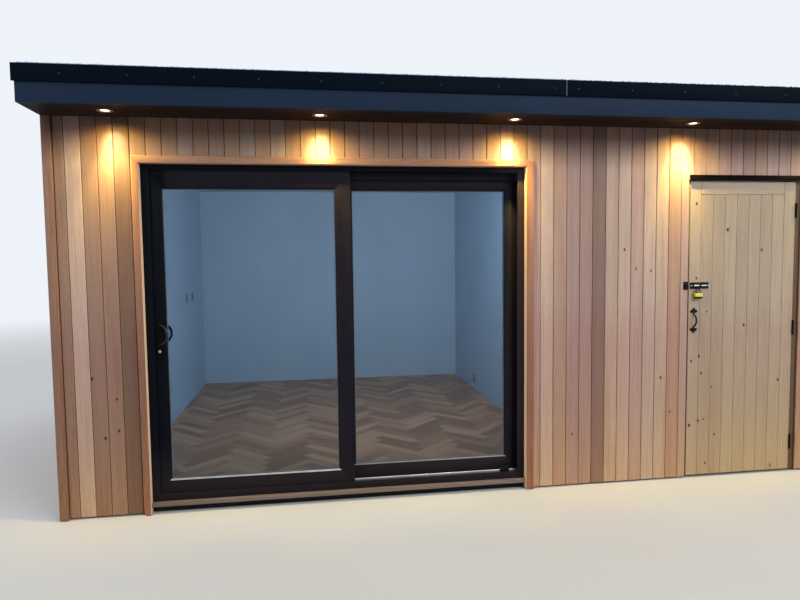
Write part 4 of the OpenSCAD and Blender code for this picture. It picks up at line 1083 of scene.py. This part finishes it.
def herringbone():
    """Oak blocks laid in a herringbone whose rows run from front to back."""
    low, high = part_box("floor_finish")
    wall_low, wall_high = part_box("partition_wall")
    x0, x1 = low.x + FLOOR_GAP, wall_low.x - FLOOR_GAP
    y0, y1 = low.y + FLOOR_GAP, high.y - FLOOR_GAP
    slant = math.radians(45)
    turn = Matrix.Translation((BLOCK_START, y0, 0)) @ Matrix.Rotation(slant, 4, "Z")
    bm = start()
    reach = 1.2 * (abs(x0 - BLOCK_START) + (y1 - y0) + 1)
    steps = int(reach / BLOCK_WIDTH)
    across = int(reach / BLOCK_LENGTH)
    for row in range(-steps, steps):
        near = row * BLOCK_WIDTH
        for run in range(-across, across):
            left = near + 2 * run * BLOCK_LENGTH
            flat = ((left, near), (left + BLOCK_LENGTH, near + BLOCK_WIDTH), -slant)
            upright = ((left + BLOCK_LENGTH, near + BLOCK_WIDTH - BLOCK_LENGTH),
                       (left + BLOCK_LENGTH + BLOCK_WIDTH, near + BLOCK_WIDTH), slant)
            for (a, b), (c, d), angle in (flat, upright):
                middle = turn @ Vector(((a + c) / 2, (b + d) / 2, 0))
                if not (x0 - BLOCK_SPARE < middle.x < x1 + BLOCK_SPARE
                        and y0 - BLOCK_SPARE < middle.y < y1 + BLOCK_SPARE):
                    continue
                add_block(bm, (a + BLOCK_JOINT, b + BLOCK_JOINT, low.z),
                          (c - BLOCK_JOINT, d - BLOCK_JOINT, high.z), 0.0006, dice.random(),
                          matrix=turn, turn=angle)
    for point, normal in (((x0, 0, 0), (-1, 0, 0)), ((x1, 0, 0), (1, 0, 0)),
                          ((0, y0, 0), (0, -1, 0)), ((0, y1, 0), (0, 1, 0))):
        cut_beyond(bm, point, normal)
    finished("herringbone_floor", bm, oak, stands_for=("floor_finish",))

    store = start()
    left, right = wall_high.x + FLOOR_GAP, high.x - FLOOR_GAP
    width = (y1 - y0) / STORE_FLOOR_BOARDS
    for index in range(STORE_FLOOR_BOARDS):
        front = y0 + index * width
        add_block(store, (left, front, low.z), (right, front + width, high.z), 0.001, dice.random())
    finished("store_floor_boards", store, oak_boards)


herringbone()

for wall_node in ("front_wall_piers", "front_wall_lintels", "back_wall", "ceiling"):
    set_material(wall_node, lining)
for wall_node in ("side_walls", "partition_wall"):
    set_material(wall_node, side_lining)
set_material("floor_base", base_wood)
eased_node("wall_sockets", 0.0015, socket_plastic)


# Stage, light and camera

CAMERA_PLACE = Vector((-1.223, -5.559, 1.481))
CAMERA_YAW, CAMERA_PITCH, CAMERA_ROLL = 0.1450, 0.0653, -0.0122
FOCAL_PIXELS = 610
PICTURE_WIDTH = 800
SENSOR_WIDTH = 36


def camera():
    """The camera that the picture was taken with, as its lines give it."""
    ahead = Vector((math.sin(CAMERA_YAW) * math.cos(CAMERA_PITCH),
                    math.cos(CAMERA_YAW) * math.cos(CAMERA_PITCH), -math.sin(CAMERA_PITCH)))
    level = Vector((math.cos(CAMERA_YAW), -math.sin(CAMERA_YAW), 0))
    upright = level.cross(ahead)
    right = level * math.cos(CAMERA_ROLL) + upright * math.sin(CAMERA_ROLL)
    up = upright * math.cos(CAMERA_ROLL) - level * math.sin(CAMERA_ROLL)
    data = bpy.data.cameras.new("camera")
    data.sensor_width = SENSOR_WIDTH
    data.lens = SENSOR_WIDTH * FOCAL_PIXELS / PICTURE_WIDTH
    data.clip_end = 200
    made = bpy.data.objects.new("camera", data)
    turn = Matrix((right, up, -ahead)).transposed().to_4x4()
    made.matrix_world = Matrix.Translation(CAMERA_PLACE) @ turn
    bpy.context.scene.collection.objects.link(made)
    bpy.context.scene.camera = made


BACKDROP = (0.86, 0.90, 0.95, 1)
FADE_START, FADE_END = 5.0, 16.0  # distances between which the floor fades into the backdrop
DAYLIGHT = (0.97, 0.98, 1.0)


def seen_directly(tree):
    """1 for what the camera sees straight, in a mirror or through glass."""
    path = step(tree, "LightPath")
    first = reckoned(tree, "MAXIMUM", path.outputs["Is Camera Ray"], path.outputs["Is Glossy Ray"])
    return reckoned(tree, "MAXIMUM", first, path.outputs["Is Transmission Ray"])


def world():
    """An even pale light from all round, and the backdrop behind the pod."""
    made = bpy.data.worlds.new("studio")
    bpy.context.scene.world = made
    made.use_nodes = True
    tree = made.node_tree
    tree.nodes.clear()
    lit = step(tree, "Background", {"Color": (0.93, 0.96, 1.0, 1), "Strength": 0.55})
    shown = step(tree, "Background", {"Color": BACKDROP, "Strength": 1.0})
    both = step(tree, "MixShader", {0: seen_directly(tree), 1: lit.outputs[0], 2: shown.outputs[0]})
    step(tree, "OutputWorld", {"Surface": both.outputs[0]})


def floor():
    """A pale floor that fades into the background at a distance."""
    bm = bmesh.new()
    bmesh.ops.create_grid(bm, x_segments=1, y_segments=1, size=60)
    bmesh.ops.translate(bm, verts=bm.verts, vec=(0, 0, -0.001))
    mesh = bpy.data.meshes.new("studio_floor")
    bm.to_mesh(mesh)
    bm.free()
    made = bpy.data.objects.new("studio_floor", mesh)
    bpy.context.scene.collection.objects.link(made)
    material, tree, shader = blank("pale_floor")
    place = own_place(tree)
    base = mixed(tree, noise(tree, place, scale=0.8), srgb(206, 208, 210), srgb(200, 202, 204))
    tree.links.new(base, shader.inputs["Base Color"])
    shader.inputs["Roughness"].default_value = 0.85
    shader.inputs["Specular IOR Level"].default_value = 0.2
    reach = step(tree, "VectorMath", {0: place}, operation="LENGTH").outputs["Value"]
    far = share_between(tree, reach, FADE_START, FADE_END, "SMOOTHSTEP")
    share = reckoned(tree, "MULTIPLY", far, seen_directly(tree))
    glow = step(tree, "Emission", {"Color": BACKDROP, "Strength": 1.0})
    both = step(tree, "MixShader", {0: share, 1: shader.outputs[0], 2: glow.outputs[0]})
    out = next(n for n in tree.nodes if n.type == "OUTPUT_MATERIAL")
    tree.links.new(both.outputs[0], out.inputs["Surface"])
    mesh.materials.append(material)


def area_light(name, place, aim, size, power, colour=(1, 1, 1), mirrored=False):
    """A soft light turned to its aim. size is its width and height, mirrored shows it in the glass."""
    data = bpy.data.lights.new(name, "AREA")
    data.shape = "RECTANGLE"
    data.size, data.size_y = size
    data.energy = power
    data.color = colour
    made = bpy.data.objects.new(name, data)
    made.location = place
    made.rotation_mode = "QUATERNION"
    made.rotation_quaternion = (Vector(aim) - Vector(place)).to_track_quat("-Z", "Y")
    made.visible_camera = False
    made.visible_glossy = mirrored
    bpy.context.scene.collection.objects.link(made)


LAMP_DROP = 0.006  # how far the lamps' lights are under the rims' lower faces
LAMP_LIGHTS = (  # name, cone and lean towards the wall in degrees, power in watts, colour
    ("wide", 160, 0, 20, (1.0, 0.70, 0.15)),
    ("beam", 60, 14, 50, (1.0, 0.70, 0.15)),
    ("core", 50, 40, 24, (1.0, 0.86, 0.52)),
)


def soffit_glow():
    """Warm light from each lens: a wide soft cone, a beam, and a whiter core on the top of the wall."""
    for index, place in enumerate(lamp_places):
        for name, cone, lean, power, colour in LAMP_LIGHTS:
            data = bpy.data.lights.new(f"soffit_{name}_{index + 1}", "SPOT")
            data.energy = power
            data.color = colour
            data.spot_size = math.radians(cone)
            data.spot_blend = 1.0
            data.shadow_soft_size = 0.02
            made = bpy.data.objects.new(data.name, data)
            made.location = place - Vector((0, 0, LAMP_DROP))
            made.rotation_euler = (math.radians(lean), 0, 0)
            bpy.context.scene.collection.objects.link(made)


def room_light():
    """Soft daylight within the two rooms, from just under their ceilings."""
    low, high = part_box("floor_finish")
    wall_low, wall_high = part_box("partition_wall")
    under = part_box("ceiling")[0].z - 0.05
    office = (low.x + wall_low.x) / 2 + 0.6
    store, middle = (wall_high.x + high.x) / 2, (low.y + high.y) / 2
    area_light("room_softbox", (office, low.y + 0.35, under - 0.2), (office, high.y, 0.7), (2.2, 0.6), 34,
               (0.90, 0.95, 0.98))
    area_light("store_softbox", (store, middle, under), (store, middle, low.z), (1.0, 1.5), 14)


camera()
world()
floor()
area_light("front_softbox", (4.8, -8.75, 5.8), (0.8, -1.85, 1.0), (6, 4), 520, DAYLIGHT, True)
area_light("side_softbox", (-8.5, -2.75, 4.5), (-2.0, 0.15, 1.0), (4, 4), 230, DAYLIGHT)
area_light("back_softbox", (2.0, 9.25, 6.5), (0.0, 1.75, 1.0), (7, 4), 620, DAYLIGHT)
room_light()
soffit_glow()

bpy.context.scene.view_settings.view_transform = "Standard"
